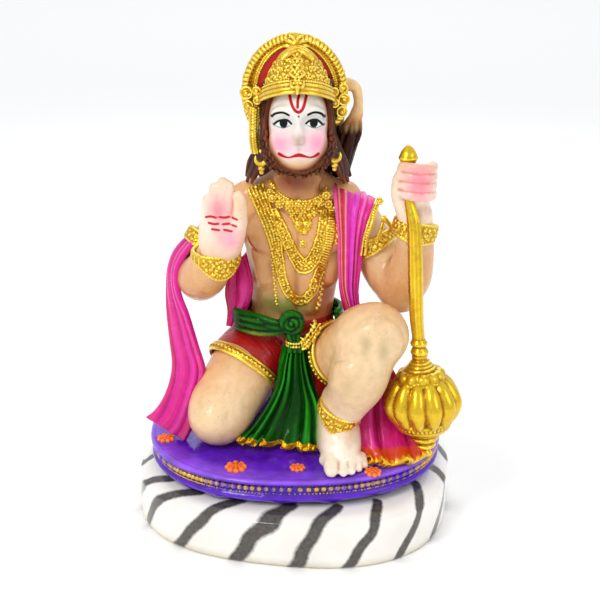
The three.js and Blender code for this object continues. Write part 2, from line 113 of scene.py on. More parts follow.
# Plinth: an oval block cast in white polyester resin, polished, glued under the seat a little
# askew. Broad grey strokes are brushed over its ledge and down its side, adhesive has yellowed
# along its foot, and painted shade darkens the ledge next to the seat.
PLINTH = {"width": 131, "depth": 114, "squareness": 2.5, "turn": -11}
SEAT_TOP = 35.5
stripe_strokes = [  # degrees round the plinth, and millimetres down from the ledge's inner edge
    [(-166, 0), (-166, 3), (-165, 8), (-169, 14), (-174, 29)],
    [(-136, 0), (-143.5, 5.7), (-148, 10.5), (-155, 17), (-159, 24), (-162, 29)],
    [(-116, 0), (-126, 5.7), (-133.5, 12.3), (-142, 23), (-144.5, 29)],
    [(-99, 0), (-104.5, 5.4), (-109, 11.7), (-115, 20), (-122, 29)],
    [(-85, 0), (-89, 6.3), (-90.5, 10.9), (-94, 18.7), (-98, 29)],
    [(-68, 0), (-75, 6.6), (-78, 11.7), (-81, 20), (-84, 29)],
    [(-49, 0), (-55, 8.5), (-57.5, 14), (-61.5, 19.6), (-67, 29)],
    [(-20, 0), (-30.5, 8.2), (-33, 13.4), (-37.5, 19), (-45, 29)],
    [(-2, 0), (-5, 9.5), (-7, 16), (-19, 26), (-22, 29)],
    [(19, 0), (14, 5), (8, 9), (5, 17), (1, 29)],
    [(42, 0), (38, 5), (33, 10), (26, 29)],
    [(66, 0), (61, 5), (57, 10), (48, 29)],
    [(88, 0), (84, 5), (80, 10), (72, 29)],
    [(110, 0), (105, 5), (102, 10), (93, 29)],
    [(134, 0), (128, 5), (124, 10), (115, 29)],
    [(160, 0), (153, 5), (148, 10), (140, 29)],
]


def on_oval(angles, width, depth, squareness):
    """Points of an oval outline that is squarer than an ellipse."""
    u, v = np.cos(angles), np.sin(angles)
    return (
        width / 2 * np.sign(u) * np.abs(u) ** (2 / squareness),
        depth / 2 * np.sign(v) * np.abs(v) ** (2 / squareness),
    )


def oval_block(profile, width, depth, squareness, segments, turn=0.0):
    """A block built ring by ring from a profile of insets and heights, with closed ends."""
    angles = np.arange(segments) / segments * 2 * np.pi
    block = bmesh.new()
    ring = bmesh.ops.create_circle(block, segments=segments, radius=1)["verts"]
    edges = block.edges[:]
    for level, (inset, z) in enumerate(profile):
        if level:
            grown = bmesh.ops.extrude_edge_only(block, edges=edges)["geom"]
            edges = [e for e in grown if isinstance(e, bmesh.types.BMEdge)]
            ring = [v for v in grown if isinstance(v, bmesh.types.BMVert)]
        x, y = on_oval(angles, width - 2 * inset, depth - 2 * inset, squareness)
        for j, vert in enumerate(ring):
            c, s = cos(turn), sin(turn)
            vert.co = ((x[j] * c - y[j] * s) / 1000, (x[j] * s + y[j] * c) / 1000, z / 1000)
    bmesh.ops.holes_fill(block, edges=block.edges[:], sides=0)
    bmesh.ops.recalc_face_normals(block, faces=block.faces[:])
    return block


def blended(material, share, under, over, **settings):
    """Mixes two colours, each of them a hex code or the output of a node."""
    under, over = (c if isinstance(c, bpy.types.NodeSocket) else (*linear(c), 1) for c in (under, over))
    return node(material, "Mix", {0: share, 6: under, 7: over}, data_type="RGBA", **settings).outputs[2]


def placed(name, mesh, material, slot="painted_resin", replaced="figure", smooth=180, keep=1.0, even=None):
    """Makes a mesh a piece of the object. Edges that turn by more degrees than smooth says stay
    sharp. A fine one has faces merged where its form is flat, down to the share that it keeps, and
    only among the points marked as even, if any are."""
    mesh.materials.append(material)
    mesh.polygons.foreach_set("use_smooth", [True] * len(mesh.polygons))
    if smooth < 180:
        mesh.set_sharp_from_angle(angle=radians(smooth))
    piece = bpy.data.objects.new(name, mesh)
    scene.collection.objects.link(piece)
    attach(piece, "root")
    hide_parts(replaced)
    if keep < 1:
        thin = piece.modifiers.new("merged faces", "DECIMATE")
        thin.ratio = keep
        if even is not None:
            group = piece.vertex_groups.new(name="even")
            group.add(np.flatnonzero(even).tolist(), 1, "REPLACE")
            thin.vertex_group = group.name
    return piece


def lay(mesh, name, values):
    """Stores one number or one colour for each point of a mesh."""
    values = np.asarray(values, float)
    if values.ndim == 1:
        mesh.attributes.new(name, "FLOAT", "POINT").data.foreach_set("value", values)
    else:
        full = np.ones((len(values), 4))
        full[:, :3] = values
        mesh.attributes.new(name, "FLOAT_COLOR", "POINT").data.foreach_set("color", full.ravel())


def flowing(rows, between):
    """Rows of numbers with more rows laid between them on a smooth curve."""
    rows = np.array(rows, float)
    rows = np.vstack([2 * rows[0] - rows[1], rows, 2 * rows[-1] - rows[-2]])
    out = []
    for a, b, c, d in zip(rows, rows[1:], rows[2:], rows[3:]):
        for t in np.arange(between) / between:
            out.append(b + 0.5 * t * (c - a + t * (2 * a - 5 * b + 4 * c - d + t * (3 * (b - c) + d - a))))
    out.append(rows[-2])
    return np.array(out)


def from_line(points, line):
    """How far each point lies from a line through a row of places."""
    points, line = np.asarray(points, float), np.asarray(line, float)
    best = np.full(len(points), 1e9)
    for a, b in zip(line, line[1:]):
        share = np.clip(((points - a) @ (b - a)) / max(np.dot(b - a, b - a), 1e-9), 0, 1)
        best = np.minimum(best, np.linalg.norm(points - a - share[:, None] * (b - a), axis=1))
    return best


plinth_profile = [(8 + k, 23) for k in (24, 12, 4, 0.8)]
plinth_profile += [tuple(p) for p in flowing([(8, 22.9), (3.6, 21.3), (0.5, 19.1)], 6)]
plinth_profile += [(0.1, 18.6)] + [(0, z) for z in np.linspace(18, 1.4, 22)] + [(0.4, 0.5), (1.4, 0)]
around = 400
plinth_block = oval_block(
    plinth_profile, PLINTH["width"], PLINTH["depth"], PLINTH["squareness"], around,
    radians(PLINTH["turn"]),
)
steps = np.hypot(*np.diff(np.array(plinth_profile), axis=0).T)
down = np.concatenate([[0], np.cumsum(steps)])
down -= down[3]  # the fourth ring is the ledge's inner edge
degree_mm, stroke_half = 1.07, 2.3
degrees = (np.arange(around) / around * 360 + 180) % 360 - 180
spot = np.array([(a, d) for d in down for a in degrees])
stripe = np.full(len(spot), 99.0)
for stroke in stripe_strokes:
    line = flowing(stroke, 5)
    line[:, 0] += 0.35 * np.sin(line[:, 1] * 0.5 + line[0, 0])
    for lap in (-360, 0, 360):
        stripe = np.minimum(stripe, from_line((spot + (lap, 0)) * (degree_mm, 1), line * (degree_mm, 1)))
plinth_mesh = bpy.data.meshes.new("plinth_block")
plinth_block.to_mesh(plinth_mesh)
lay(plinth_mesh, "stripe", stripe - stroke_half)
# One mask for yellowed adhesive along the foot and for painted shade on the ledge's inner part, next to the
# seat.
lay(plinth_mesh, "glue_and_seat_shade", np.clip((spot[:, 1] - 24.5) / 4, 0, 1) + 0.4 * np.clip(1 - spot[:, 1] / 7, 0, 1))

# White casting resin, polished: a clear gloss over a faintly warm, clouded white, with grey strokes
# that the bristles broke up, and yellow where adhesive lies on it, the same colour also laid as
# painted shade on the ledge next to the seat.
white_resin = bpy.data.materials.new("polished white casting resin with brushed grey strokes")
white_resin.use_nodes = True
finish = white_resin.node_tree.nodes["Principled BSDF"]
finish.inputs["Roughness"].default_value = 0.16
finish.inputs["IOR"].default_value = 1.54
finish.inputs["Coat Weight"].default_value = 0.4
finish.inputs["Coat Roughness"].default_value = 0.05
where = node(white_resin, "TexCoord").outputs["Object"]
clouds = node(white_resin, "TexNoise", {"Vector": where, "Scale": 60, "Detail": 3})
bristles = node(white_resin, "TexNoise", {"Vector": where, "Scale": 700, "Detail": 4})
edge = node(white_resin, "Attribute", attribute_name="stripe")
ragged = node(white_resin, "MapRange", {"Value": bristles.outputs["Fac"], "To Min": -0.3, "To Max": 0.3})
width = node(white_resin, "Math", {0: edge.outputs["Fac"], 1: ragged.outputs["Result"]}, operation="ADD")
brushed = node(white_resin, "MapRange", {"Value": width.outputs[0], "From Min": 0.55, "From Max": -0.55})
body_tone = node(white_resin, "MapRange", {
    "Value": clouds.outputs["Fac"], "From Min": 0.35, "From Max": 0.7, "To Max": 0.5,
})
base = blended(white_resin, body_tone.outputs["Result"], "#f3f0ea", "#e6e1d6")
# Yellowed adhesive at the foot and painted shade by the seat, both in the same yellowish grey.
glue_and_seat_shade = node(white_resin, "Attribute", attribute_name="glue_and_seat_shade")
glue_and_shade_share = node(white_resin, "Math", {0: glue_and_seat_shade.outputs["Fac"], 1: clouds.outputs["Fac"]}, operation="MULTIPLY")
glued_and_shaded = blended(white_resin, glue_and_shade_share.outputs[0], base, "#a89a5e")
streaks = node(white_resin, "MapRange", {"Value": bristles.outputs["Fac"], "From Min": 0.3, "From Max": 0.75})
grey = blended(white_resin, streaks.outputs["Result"], "#35322f", "#565049")
striped = blended(white_resin, brushed.outputs["Result"], glued_and_shaded, grey)
white_resin.node_tree.links.new(striped, finish.inputs["Base Color"])
ripple = node(white_resin, "Bump", {"Strength": 0.12, "Distance": 0.0004, "Height": clouds.outputs["Fac"]})
white_resin.node_tree.links.new(ripple.outputs["Normal"], finish.inputs["Normal"])
placed("plinth_block", plinth_mesh, white_resin, "white_resin", "plinth", smooth=40)


# Seat: an oval slab in one casting with the figure, painted violet with a pearl gloss. It has a
# fine rim, a sunk band with a row of small gold-rubbed beads, and a lip that dripped when painted.
SEAT = {"width": 123, "depth": 106, "squareness": 2.3}


def enamel(name, roughness, coat, bump_mm, grain_mm, unevenness, shine=0.3):
    """Varnished paint on cast resin: the colour is the piece's own, brushed on a little unevenly.
    Where the piece is gilt, gold bronze powder paint takes over."""
    made = bpy.data.materials.new(name)
    made.use_nodes = True
    out = made.node_tree.nodes["Principled BSDF"]
    out.inputs["Specular IOR Level"].default_value = shine
    out.inputs["Coat Weight"].default_value = coat
    out.inputs["Coat Roughness"].default_value = 0.08
    where = node(made, "TexCoord").outputs["Object"]
    grain = node(made, "TexNoise", {"Vector": where, "Scale": 1000 / grain_mm, "Detail": 5})
    shade = node(made, "MapRange", {
        "Value": grain.outputs["Fac"], "From Min": 0.3, "From Max": 0.7, "To Min": 1 - unevenness,
        "To Max": 1 + unevenness,
    })
    colour = node(made, "Attribute", attribute_name="paint")
    toned = blended(made, 1.0, colour.outputs["Color"], shade.outputs["Result"], blend_type="MULTIPLY")
    gilt = node(made, "Attribute", attribute_name="gilt")
    made.node_tree.links.new(toned, out.inputs["Base Color"])
    made.node_tree.links.new(gilt.outputs["Fac"], out.inputs["Metallic"])
    dull = node(made, "MapRange", {
        "Value": grain.outputs["Fac"], "To Min": roughness * 0.8, "To Max": roughness * 1.2,
    })
    made.node_tree.links.new(dull.outputs["Result"], out.inputs["Roughness"])
    fine = node(made, "TexNoise", {"Vector": where, "Scale": 1000 / grain_mm * 1.7, "Detail": 3})
    lift = node(made, "Bump", {"Strength": 0.5, "Distance": bump_mm / 1000, "Height": fine.outputs["Fac"]})
    made.node_tree.links.new(lift.outputs["Normal"], out.inputs["Normal"])
    return made


def painted(mesh, colours, material, gilt=0.0, **fit):
    """Lays a piece's own colours on its mesh, says how far it is gilt, and places it."""
    lay(mesh, "paint", colours)
    lay(mesh, "gilt", np.broadcast_to(gilt, len(colours)))
    return placed(mesh.name, mesh, material, **fit)


def coated(colour, code, share):
    """Colours with another laid over them, as thickly as the share says."""
    share = np.clip(np.asarray(share, float), 0, 1)
    return colour + (np.array(linear(code)) - colour) * share[..., None]


def layered(count, base, coats):
    """A base colour for each point, with coats laid over it in turn, each a colour and its share."""
    colours = np.tile(linear(base), (count, 1))
    for code, share in coats:
        colours = coated(colours, code, share)
    return colours


def bloom(points, middle, reach):
    """How strongly a spot of airbrushed paint shows at each point, from its middle outward."""
    return np.exp(-(((points - np.array(middle)) / reach) ** 2).sum(-1))


seat_profile = [
    (6.5, 23), (5.2, 23.2), (3.2, 25), (2.2, 25.6), (1, 26.6), (0.5, 27.6), (0.7, 28.4), (1.5, 28.9),
]
seat_profile += [
    (1.9, 29.4), (2, 31), (1.9, 32.6), (1.4, 33.1), (0.5, 33.4), (0.1, 34), (0.3, 34.8), (0.9, 35.3),
]
seat_profile += [(1.9, 35.5), (3, 35.35)] + [(k, 35.5) for k in (4.5, 7, 10, 14, 19, 25, 32, 40, 50)]
seat_around = 360
seat_block = oval_block(seat_profile, SEAT["width"], SEAT["depth"], SEAT["squareness"], seat_around)
seat_block.verts.ensure_lookup_table()
drip_length = 0.0007
rng = np.random.default_rng(7)
drips = np.zeros(seat_around)
for start in rng.uniform(0, 360, 5):
    # nine narrow lobes of paint round the seat, where it ran down
    lobes = np.maximum(0, np.cos((np.arange(seat_around) - start) / 360 * 2 * np.pi * 9)) ** 14
    drips += rng.uniform(0.4, 1) * lobes
for level in range(1, 4):
    for j in range(seat_around):
        seat_block.verts[level * seat_around + j].co.z -= drip_length * drips[j] * (1 - abs(level - 2) * 0.4)
seat_mesh = bpy.data.meshes.new("seat")
seat_block.to_mesh(seat_mesh)
at = np.array([v.co for v in seat_mesh.vertices]) * 1000
# Over the violet: a painted highlight along the top's outer edge, and painted shade in the sunk bead band and
# under the lip, darker towards the bottom.
violet = layered(len(at), "#5214b4", [
    ("#7228dc", 0.7 * (at[:, 2] > 35) * (0.5 + 0.5 * np.sin(at[:, 0] * 0.06 + at[:, 1] * 0.21))),
    (
        "#a66cf6",
        0.75 * np.exp(-(((at[:, 2] - 35) / 0.45) ** 2)) * (np.hypot(at[:, 0] / 60, at[:, 1] / 51) > 0.9),
    ),
    ("#3c12a0", 1.0 * ((at[:, 2] > 29) & (at[:, 2] < 33))),
    ("#2c0c80", np.clip((27 - at[:, 2]) / 2.5, 0, 1)),
])
# Violet enamel with a fine pearl in it, varnished: a soft gloss, clouded where it pooled.
pearl_violet = enamel("varnished violet pearl enamel on resin", 0.18, 0.3, 1.5, 9, 0.28, shine=0.25)
painted(seat_mesh, violet, pearl_violet, smooth=50)


# Body: the trunk, both arms and both legs are one casting with the seat, modelled in clay for the
# mould. It is airbrushed in flesh tones, paler on the knees and hands, and varnished.
class Clay:
    """Modelling clay on a fine grid: forms are pressed together, then skinned with a mesh.
    Millimetres, with z counted from the seat's top face."""

    def __init__(self, low, high, grain):
        self.low, self.grain = np.array(low, float), grain
        size = np.ceil((np.array(high) - self.low) / grain).astype(int) + 1
        self.field = np.full(size, 9.0, np.float32)

    def window(self, low, high):
        """The part of the grid between two corners, and its coordinates."""
        size = np.array(self.field.shape)
        first = np.clip(np.floor((np.array(low) - self.low) / self.grain).astype(int), 0, size - 1)
        last = np.clip(np.ceil((np.array(high) - self.low) / self.grain).astype(int) + 1, first + 1, size)
        axes = [self.low[i] + self.grain * np.arange(first[i], last[i], dtype=np.float32) for i in range(3)]
        return tuple(slice(a, b) for a, b in zip(first, last)), np.meshgrid(*axes, indexing="ij", sparse=True)

    def press(self, where, distance, blend, cut=False):
        """Joins a form to the clay with a fillet, or cuts it out."""
        old = self.field[where]
        if cut:
            old = -old
        ease = np.maximum(blend - np.abs(old - distance), 0) / blend
        new = np.minimum(old, distance) - ease * ease * blend / 4
        self.field[where] = -new if cut else new

    def ball(self, middle, radii, blend=1.0, turn=(0, 0, 0), cut=False):
        """An egg shape, turned by three angles if they are given."""
        radii = np.broadcast_to(np.array(radii, float), 3)
        middle = np.array(middle, float)
        reach = max(radii) + blend + 2 * self.grain if any(turn) else radii + blend + 2 * self.grain
        where, (x, y, z) = self.window(middle - reach, middle + reach)
        x, y, z = x - middle[0], y - middle[1], z - middle[2]
        if any(turn):
            m = np.array(Euler(turn).to_matrix()).T
            x, y, z = (m[i][0] * x + m[i][1] * y + m[i][2] * z for i in range(3))
        far = np.sqrt((x / radii[0]) ** 2 + (y / radii[1]) ** 2 + (z / radii[2]) ** 2) + 1e-6
        slope = np.sqrt((x / radii[0] ** 2) ** 2 + (y / radii[1] ** 2) ** 2 + (z / radii[2] ** 2) ** 2) + 1e-6
        self.press(where, (far * (far - 1) / slope).astype(np.float32), blend, cut)

    def around(self, rows, margin):
        """The distance field of a limb whose rows are x, y, z, radius."""
        low = (rows[:, :3] - rows[:, 3:4]).min(0) - margin
        high = (rows[:, :3] + rows[:, 3:4]).max(0) + margin
        where, axes = self.window(low, high)
        near = np.full(np.broadcast(*axes).shape, 9.0, np.float32)
        offset = np.array([s.start for s in where])
        for a, b in zip(rows, rows[1:]):
            small = np.minimum(a[:3] - a[3], b[:3] - b[3]) - margin
            large = np.maximum(a[:3] + a[3], b[:3] + b[3]) + margin
            part, (x, y, z) = self.window(small, large)
            local = tuple(slice(p.start - o, p.stop - o) for p, o in zip(part, offset))
            run = b[:3] - a[:3]
            long = max(float(run @ run), 1e-9)
            t = np.clip(((x - a[0]) * run[0] + (y - a[1]) * run[1] + (z - a[2]) * run[2]) / long, 0, 1)
            gap = np.sqrt(
                (x - a[0] - t * run[0]) ** 2 + (y - a[1] - t * run[1]) ** 2 + (z - a[2] - t * run[2]) ** 2
            ) - (a[3] + t * (b[3] - a[3]))
            near[local] = np.minimum(near[local], gap)
        return where, near

    def limb(self, rows, blend=1.0, between=4):
        """A roll of clay along a curve, from rows of x, y, z and radius."""
        where, near = self.around(flowing(rows, between), blend + 2 * self.grain)
        self.press(where, near, blend)

    def score(self, line, depth, width, between=4):
        """Draws a soft groove, or a ridge if the depth is negative."""
        line, reach = flowing(line, between), width * 2.5
        where, near = self.around(np.hstack([line, np.zeros((len(line), 1))]), reach)
        self.field[where] += (depth * np.exp(-((near / width) ** 2)) * (near < reach)).astype(np.float32)

    def column(self, levels, blend=1.0):
        """A standing form with oval sections: z, middle x, middle y, half width, half depth."""
        rows = flowing(levels, 6)
        wide = rows[:, 3:5].max(0)
        low = np.append(rows[:, 1:3].min(0) - wide, rows[0, 0]) - blend - 1
        high = np.append(rows[:, 1:3].max(0) + wide, rows[-1, 0]) + blend + 1
        where, (x, y, z) = self.window(low, high)
        mx, my, a, b = (np.interp(z, rows[:, 0], rows[:, k]).astype(np.float32) for k in (1, 2, 3, 4))
        x, y = x - mx, y - my
        far = np.sqrt((x / a) ** 2 + (y / b) ** 2) + 1e-6
        flank = far * (far - 1) / (np.sqrt((x / a**2) ** 2 + (y / b**2) ** 2) + 1e-6)
        self.press(where, np.maximum(flank, np.maximum(rows[0, 0] - z, z - rows[-1, 0])), blend)

    def hit(self, places, depth):
        """Where lines of sight meet the clay: they run from the camera through places given by x and
        z in the upright plane at that depth, and are searched near the plane in quarter millimetres."""
        eye = np.array(camera.location) * 1000 - (0, 0, SEAT_TOP)
        through = np.insert(np.asarray(places, float), 1, depth, axis=1)
        way = (through - eye) / np.linalg.norm(through - eye, axis=1)[:, None]
        run = np.arange(-14, 36, 0.25)
        path = through[:, None] + way[:, None] * run[:, None]
        cell = np.clip(
            np.round((path - self.low) / self.grain).astype(int), 0, np.array(self.field.shape) - 1,
        )
        inside = self.field[cell[..., 0], cell[..., 1], cell[..., 2]] < 0
        return path[np.arange(len(path)), inside.argmax(1)][inside.any(1)]

    def skin(self, name, rounds=1):
        """The clay's surface as a mesh, with its points in millimetres, their normals, and how far
        each lies in a hollow, on a fine and on a broad scale."""
        grid = openvdb.FloatGrid(9.0)
        grid.copyFromArray(self.field)
        points, faces = grid.convertToQuads()
        points, faces = points.astype(float) * self.grain + self.low, faces.astype(int)
        ends = np.vstack([faces[:, [i, (i + 1) % 4]] for i in range(4)])
        count = np.maximum(np.bincount(ends[:, 0], minlength=len(points)), 1)[:, None]

        def eased(values):
            """Each point's values as the mean of its neighbours'."""
            return np.stack([
                np.bincount(ends[:, 0], v[ends[:, 1]], len(points))
                for v in values.T
            ], 1) / count

        for _ in range(rounds):
            points = 0.5 * points + 0.5 * eased(points)
        corner = points[faces]
        outward = np.cross(corner[:, 2] - corner[:, 0], corner[:, 3] - corner[:, 1])
        if (outward * corner.mean(1)).sum() < 0:
            faces, outward = faces[:, ::-1], -outward
        normals = np.zeros_like(points)
        for i in range(4):
            normals += np.stack([np.bincount(faces[:, i], outward[:, k], len(points)) for k in range(3)], 1)
        normals /= np.maximum(np.linalg.norm(normals, axis=1), 1e-9)[:, None]
        soft, hollow = points, []
        for lap in range(9):
            soft = eased(soft)
            if lap in (1, 8):
                hollow.append(((soft - points) * normals).sum(1))
        mesh = bpy.data.meshes.new(name)
        mesh.from_pydata(((points + (0, 0, SEAT_TOP)) / 1000).tolist(), [], faces.tolist())
        return mesh, points, normals, hollow


def mirrored(side, middle, rows):
    """Rows whose first numbers are counted outward from a middle, laid to its left (-1) or right."""
    return [(middle + side * out, *rest) for out, *rest in rows]


body = Clay((-54, -50, -2), (64, 42, 124), 0.62)
body.column([
    (38, -2, 7, 17, 12), (46, -1.5, 6.4, 16.6, 11.6), (54, -1, 6, 17.2, 11.8), (62, -0.5, 6, 18, 12),
    (70, 0.2, 5.8, 19.4, 12.2), (78, 0.8, 5.8, 21.4, 12.6), (86, 1, 6.2, 22.4, 12.4), (92, 1, 6.8, 21.4, 11),
    (98, 1, 6.6, 19.6, 9.4), (103, 1, 7, 14, 8), (107, 1, 7, 8, 7),
], 2)
body.limb([(1, 6, 97, 9), (1, 2.5, 106, 8.6), (1, 0, 114, 8.2)], 5)
for side in (-1, 1):
    body.ball((1 + side * 9.6, -3.4, 84.6), (10.6, 4.8, 8.2), 5)
    body.limb(mirrored(side, 1, [(3, -4, 97.4, 1.6), (10, -2.4, 100.4, 1.5), (19, 2, 101, 2)]), 3)
    body.limb(mirrored(side, 1, [(5, 6, 108, 4), (12, 6, 102.6, 4.6), (19.4, 5.4, 99.4, 5.4)]), 4)
    body.limb(mirrored(side, 1, [(2, -4, 97, 1.6), (7.6, -3, 108, 2)]), 2.5)
    body.limb(mirrored(side, 1, [(5.2, -4.2, 72, 3.6), (5.2, -4, 64, 3.8), (4.6, -3.4, 55, 4)]), 2)
    body.limb(mirrored(side, 1, [(15, -1, 76, 3), (13.6, -2, 66, 3)]), 3)
    body.score(mirrored(side, 1, [(2, -8.4, 77), (8, -8.4, 76.2), (15, -5.6, 77.6), (19, -2, 82)]), 0.5, 1.2)
body.score([(1, -8.4, 90), (1, -7, 76), (0.6, -6, 62), (0.2, -6, 54)], 0.55, 1.2)
body.limb([
    (-17, 7.4, 95, 8.2), (-22, 7, 93.4, 9), (-29, 6, 86.6, 8.8), (-35, 4, 77, 8.3), (-39.4, 0.8, 66.6, 8.6),
], 4)
body.limb([
    (20, 7, 94, 8.2), (26, 6, 88, 9), (32, 4, 78, 9.2), (38, -0.6, 68, 9.6), (42.6, -6.6, 62.6, 8.6),
], 4)
chest = Clay((-54, -50, -2), (64, 42, 124), 0.62)
chest.field = body.field.copy()

# the raised right forearm and its open hand
body.limb([
    (-39.4, 0.6, 66, 8.6), (-38.2, -5.6, 67.4, 9.4), (-35.4, -12, 71.8, 9.2), (-31.6, -17.6, 79, 8),
    (-29, -20.6, 85, 7),
], 2.5)
body.ball((-28.4, -23, 92), (8.4, 4.8, 10.8), 3)
body.limb([(-24.4, -23.4, 86, 3.8), (-22.8, -24.6, 91.6, 3.9), (-21.4, -26, 97, 3.4)], 3)
body.ball((-32.6, -24.6, 88.4), (4, 3.6, 6.6), 2)
for finger in [
    [(-33, -24.6, 94, 2.6), (-33.6, -25, 100, 2.2), (-33.2, -25.4, 105.4, 1.9)],
    [(-30.4, -25, 96, 2.6), (-30.6, -25.6, 104, 2.2), (-30.2, -26, 110.2, 2)],
    [(-27.2, -25.2, 96, 2.7), (-27.4, -26, 105, 2.3), (-27, -26.2, 112.4, 2)],
    [(-24.6, -25, 96, 2.5), (-24.5, -25.6, 104, 2.1), (-24.6, -25.8, 110.8, 1.9)],
]:
    body.limb(finger, 1.6)
body.limb([(-21.2, -26.2, 96, 3), (-20.4, -27.6, 103, 2.6), (-20.9, -27.6, 107, 2.2)], 1)

# the left forearm, bent up, and the fist round the shaft
body.limb([
    (42.8, -7.4, 62.2, 8.4), (45.6, -11, 70, 9), (47, -14.4, 81, 7.8), (46.8, -16.6, 88.6, 7.2),
    (46.4, -19.6, 98, 6.6),
], 2.5)
body.ball((46, -22.4, 109.4), (7, 6, 8.6), 3)
for k in range(4):
    z = 107.4 + k * 3.5
    body.limb([
        (41, -23, z, 1.9), (40.4 + 0.5 * (3 - k) / 3, -26.6, z + 0.5, 1.9), (42.6, -29.6, z + 0.7, 1.95),
        (47, -30.4, z + 0.4, 2), (50.9, -28, z, 2.1), (52.2, -22, z - 0.6, 2),
    ], 0.5)
body.limb([
    (42.4, -20.6, 99, 3.6), (39.6, -22.4, 106, 3), (39, -24.6, 112, 2.5), (39.8, -26.4, 115.6, 2.1),
], 1.6)
body.score([(46.8, -26.6, 101.4), (46.8, -25, 97), (47, -23.6, 93)], 0.6, 0.8)

# the kneeling right leg and its tucked foot
body.limb([(-8, 8, 33, 14), (-18.6, -1.4, 28.2, 15), (-24, -7.6, 22.4, 14.6), (-28.4, -13, 16.6, 13.8)], 4)
body.ball((-31.4, -17.4, 12), (12.6, 13.6, 12.6), 4)
body.ball((-33.4, -25, 12), (6.6, 5.4, 7), 4)
body.limb([(-30.6, -12, 8.6, 9.6), (-24, 8, 8.4, 9.2), (-17, 24, 8, 6.8), (-15.6, 28, 9, 6.2)], 4)
body.limb([(-15.6, 27, 11, 6), (-14.6, 31, 7, 5.6), (-14, 33.4, 2.4, 4.6)], 3)
for k in range(5):
    body.limb([(-18 + k * 2.2, 34.6, 4, 1.7), (-18.4 + k * 2.3, 37.6, 1.4, 1.5)], 0.6)
body.score([(-14, -13.6, 31), (-24, -22, 24), (-27.6, -29, 16)], 0.45, 2)
body.score([(-26.4, -30, 18), (-26.6, -31.4, 12), (-28, -30.6, 6)], 0.4, 1.4)

# the raised left leg and its foot
body.limb([(6, 7, 27, 13), (14, -3.6, 31, 12.8), (21.6, -16, 39.2, 13.2), (28, -25, 48, 14.2)], 3)
body.ball((30.6, -29.6, 51.6), (14, 11.4, 13.6), 2.4)
body.ball((31.4, -37.6, 51.6), (10, 5.4, 10.4), 2)
body.limb([(27, -32.6, 42, 11.6), (24.6, -33.6, 34.6, 11.4), (21.6, -33, 27, 9.2), (19.8, -31.6, 20, 7)], 2)
body.ball((23, -38, 36.4), (8.4, 7.2, 10.6), 2.6)
body.limb([(18.4, -29, 24, 8), (17, -29.6, 15, 8.4), (17.6, -29.6, 6, 8.6)], 2)
body.score([(13, -34, 41.6), (17, -38.6, 44.6), (21.4, -41.6, 45.4)], 0.45, 1.3)
body.score([(24, -44, 45), (31, -46, 42.6), (38, -42, 43)], 0.3, 2.4)
body.ball((18, -26, 4.4), (7.4, 7, 6), 3)
body.limb([(17.8, -31, 8, 8.2), (18.2, -35, 6, 8), (18.4, -39.4, 3.4, 6.4)], 3)
body.ball((18.6, -40, 2.8), (9.2, 5.6, 3.6), 2)
for toe in [
    [(14.4, -41, 3.6, 3.3), (14.2, -45.6, 3, 3.1), (14.2, -48, 2.3, 2.6)],
    [(18.5, -42, 4, 2), (18.8, -46, 3.2, 1.9), (18.9, -48.6, 2, 1.8)],
    [(21.6, -41.4, 3.8, 1.9), (21.9, -45, 2.9, 1.8), (22.1, -47.2, 1.8, 1.7)],
    [(24.4, -39.8, 3.5, 1.85), (24.8, -42.8, 2.6, 1.75), (25, -44.6, 1.6, 1.6)],
    [(26.8, -37.8, 3.2, 1.8), (27.2, -40.2, 2.3, 1.6), (27.5, -41.8, 1.5, 1.5)],
]:
    body.limb(toe, 1.1, 3)
skin_mesh, at, normal, (fine, broad) = body.skin("skin")
flesh = np.tile(linear("#d89f64"), (len(at), 1))
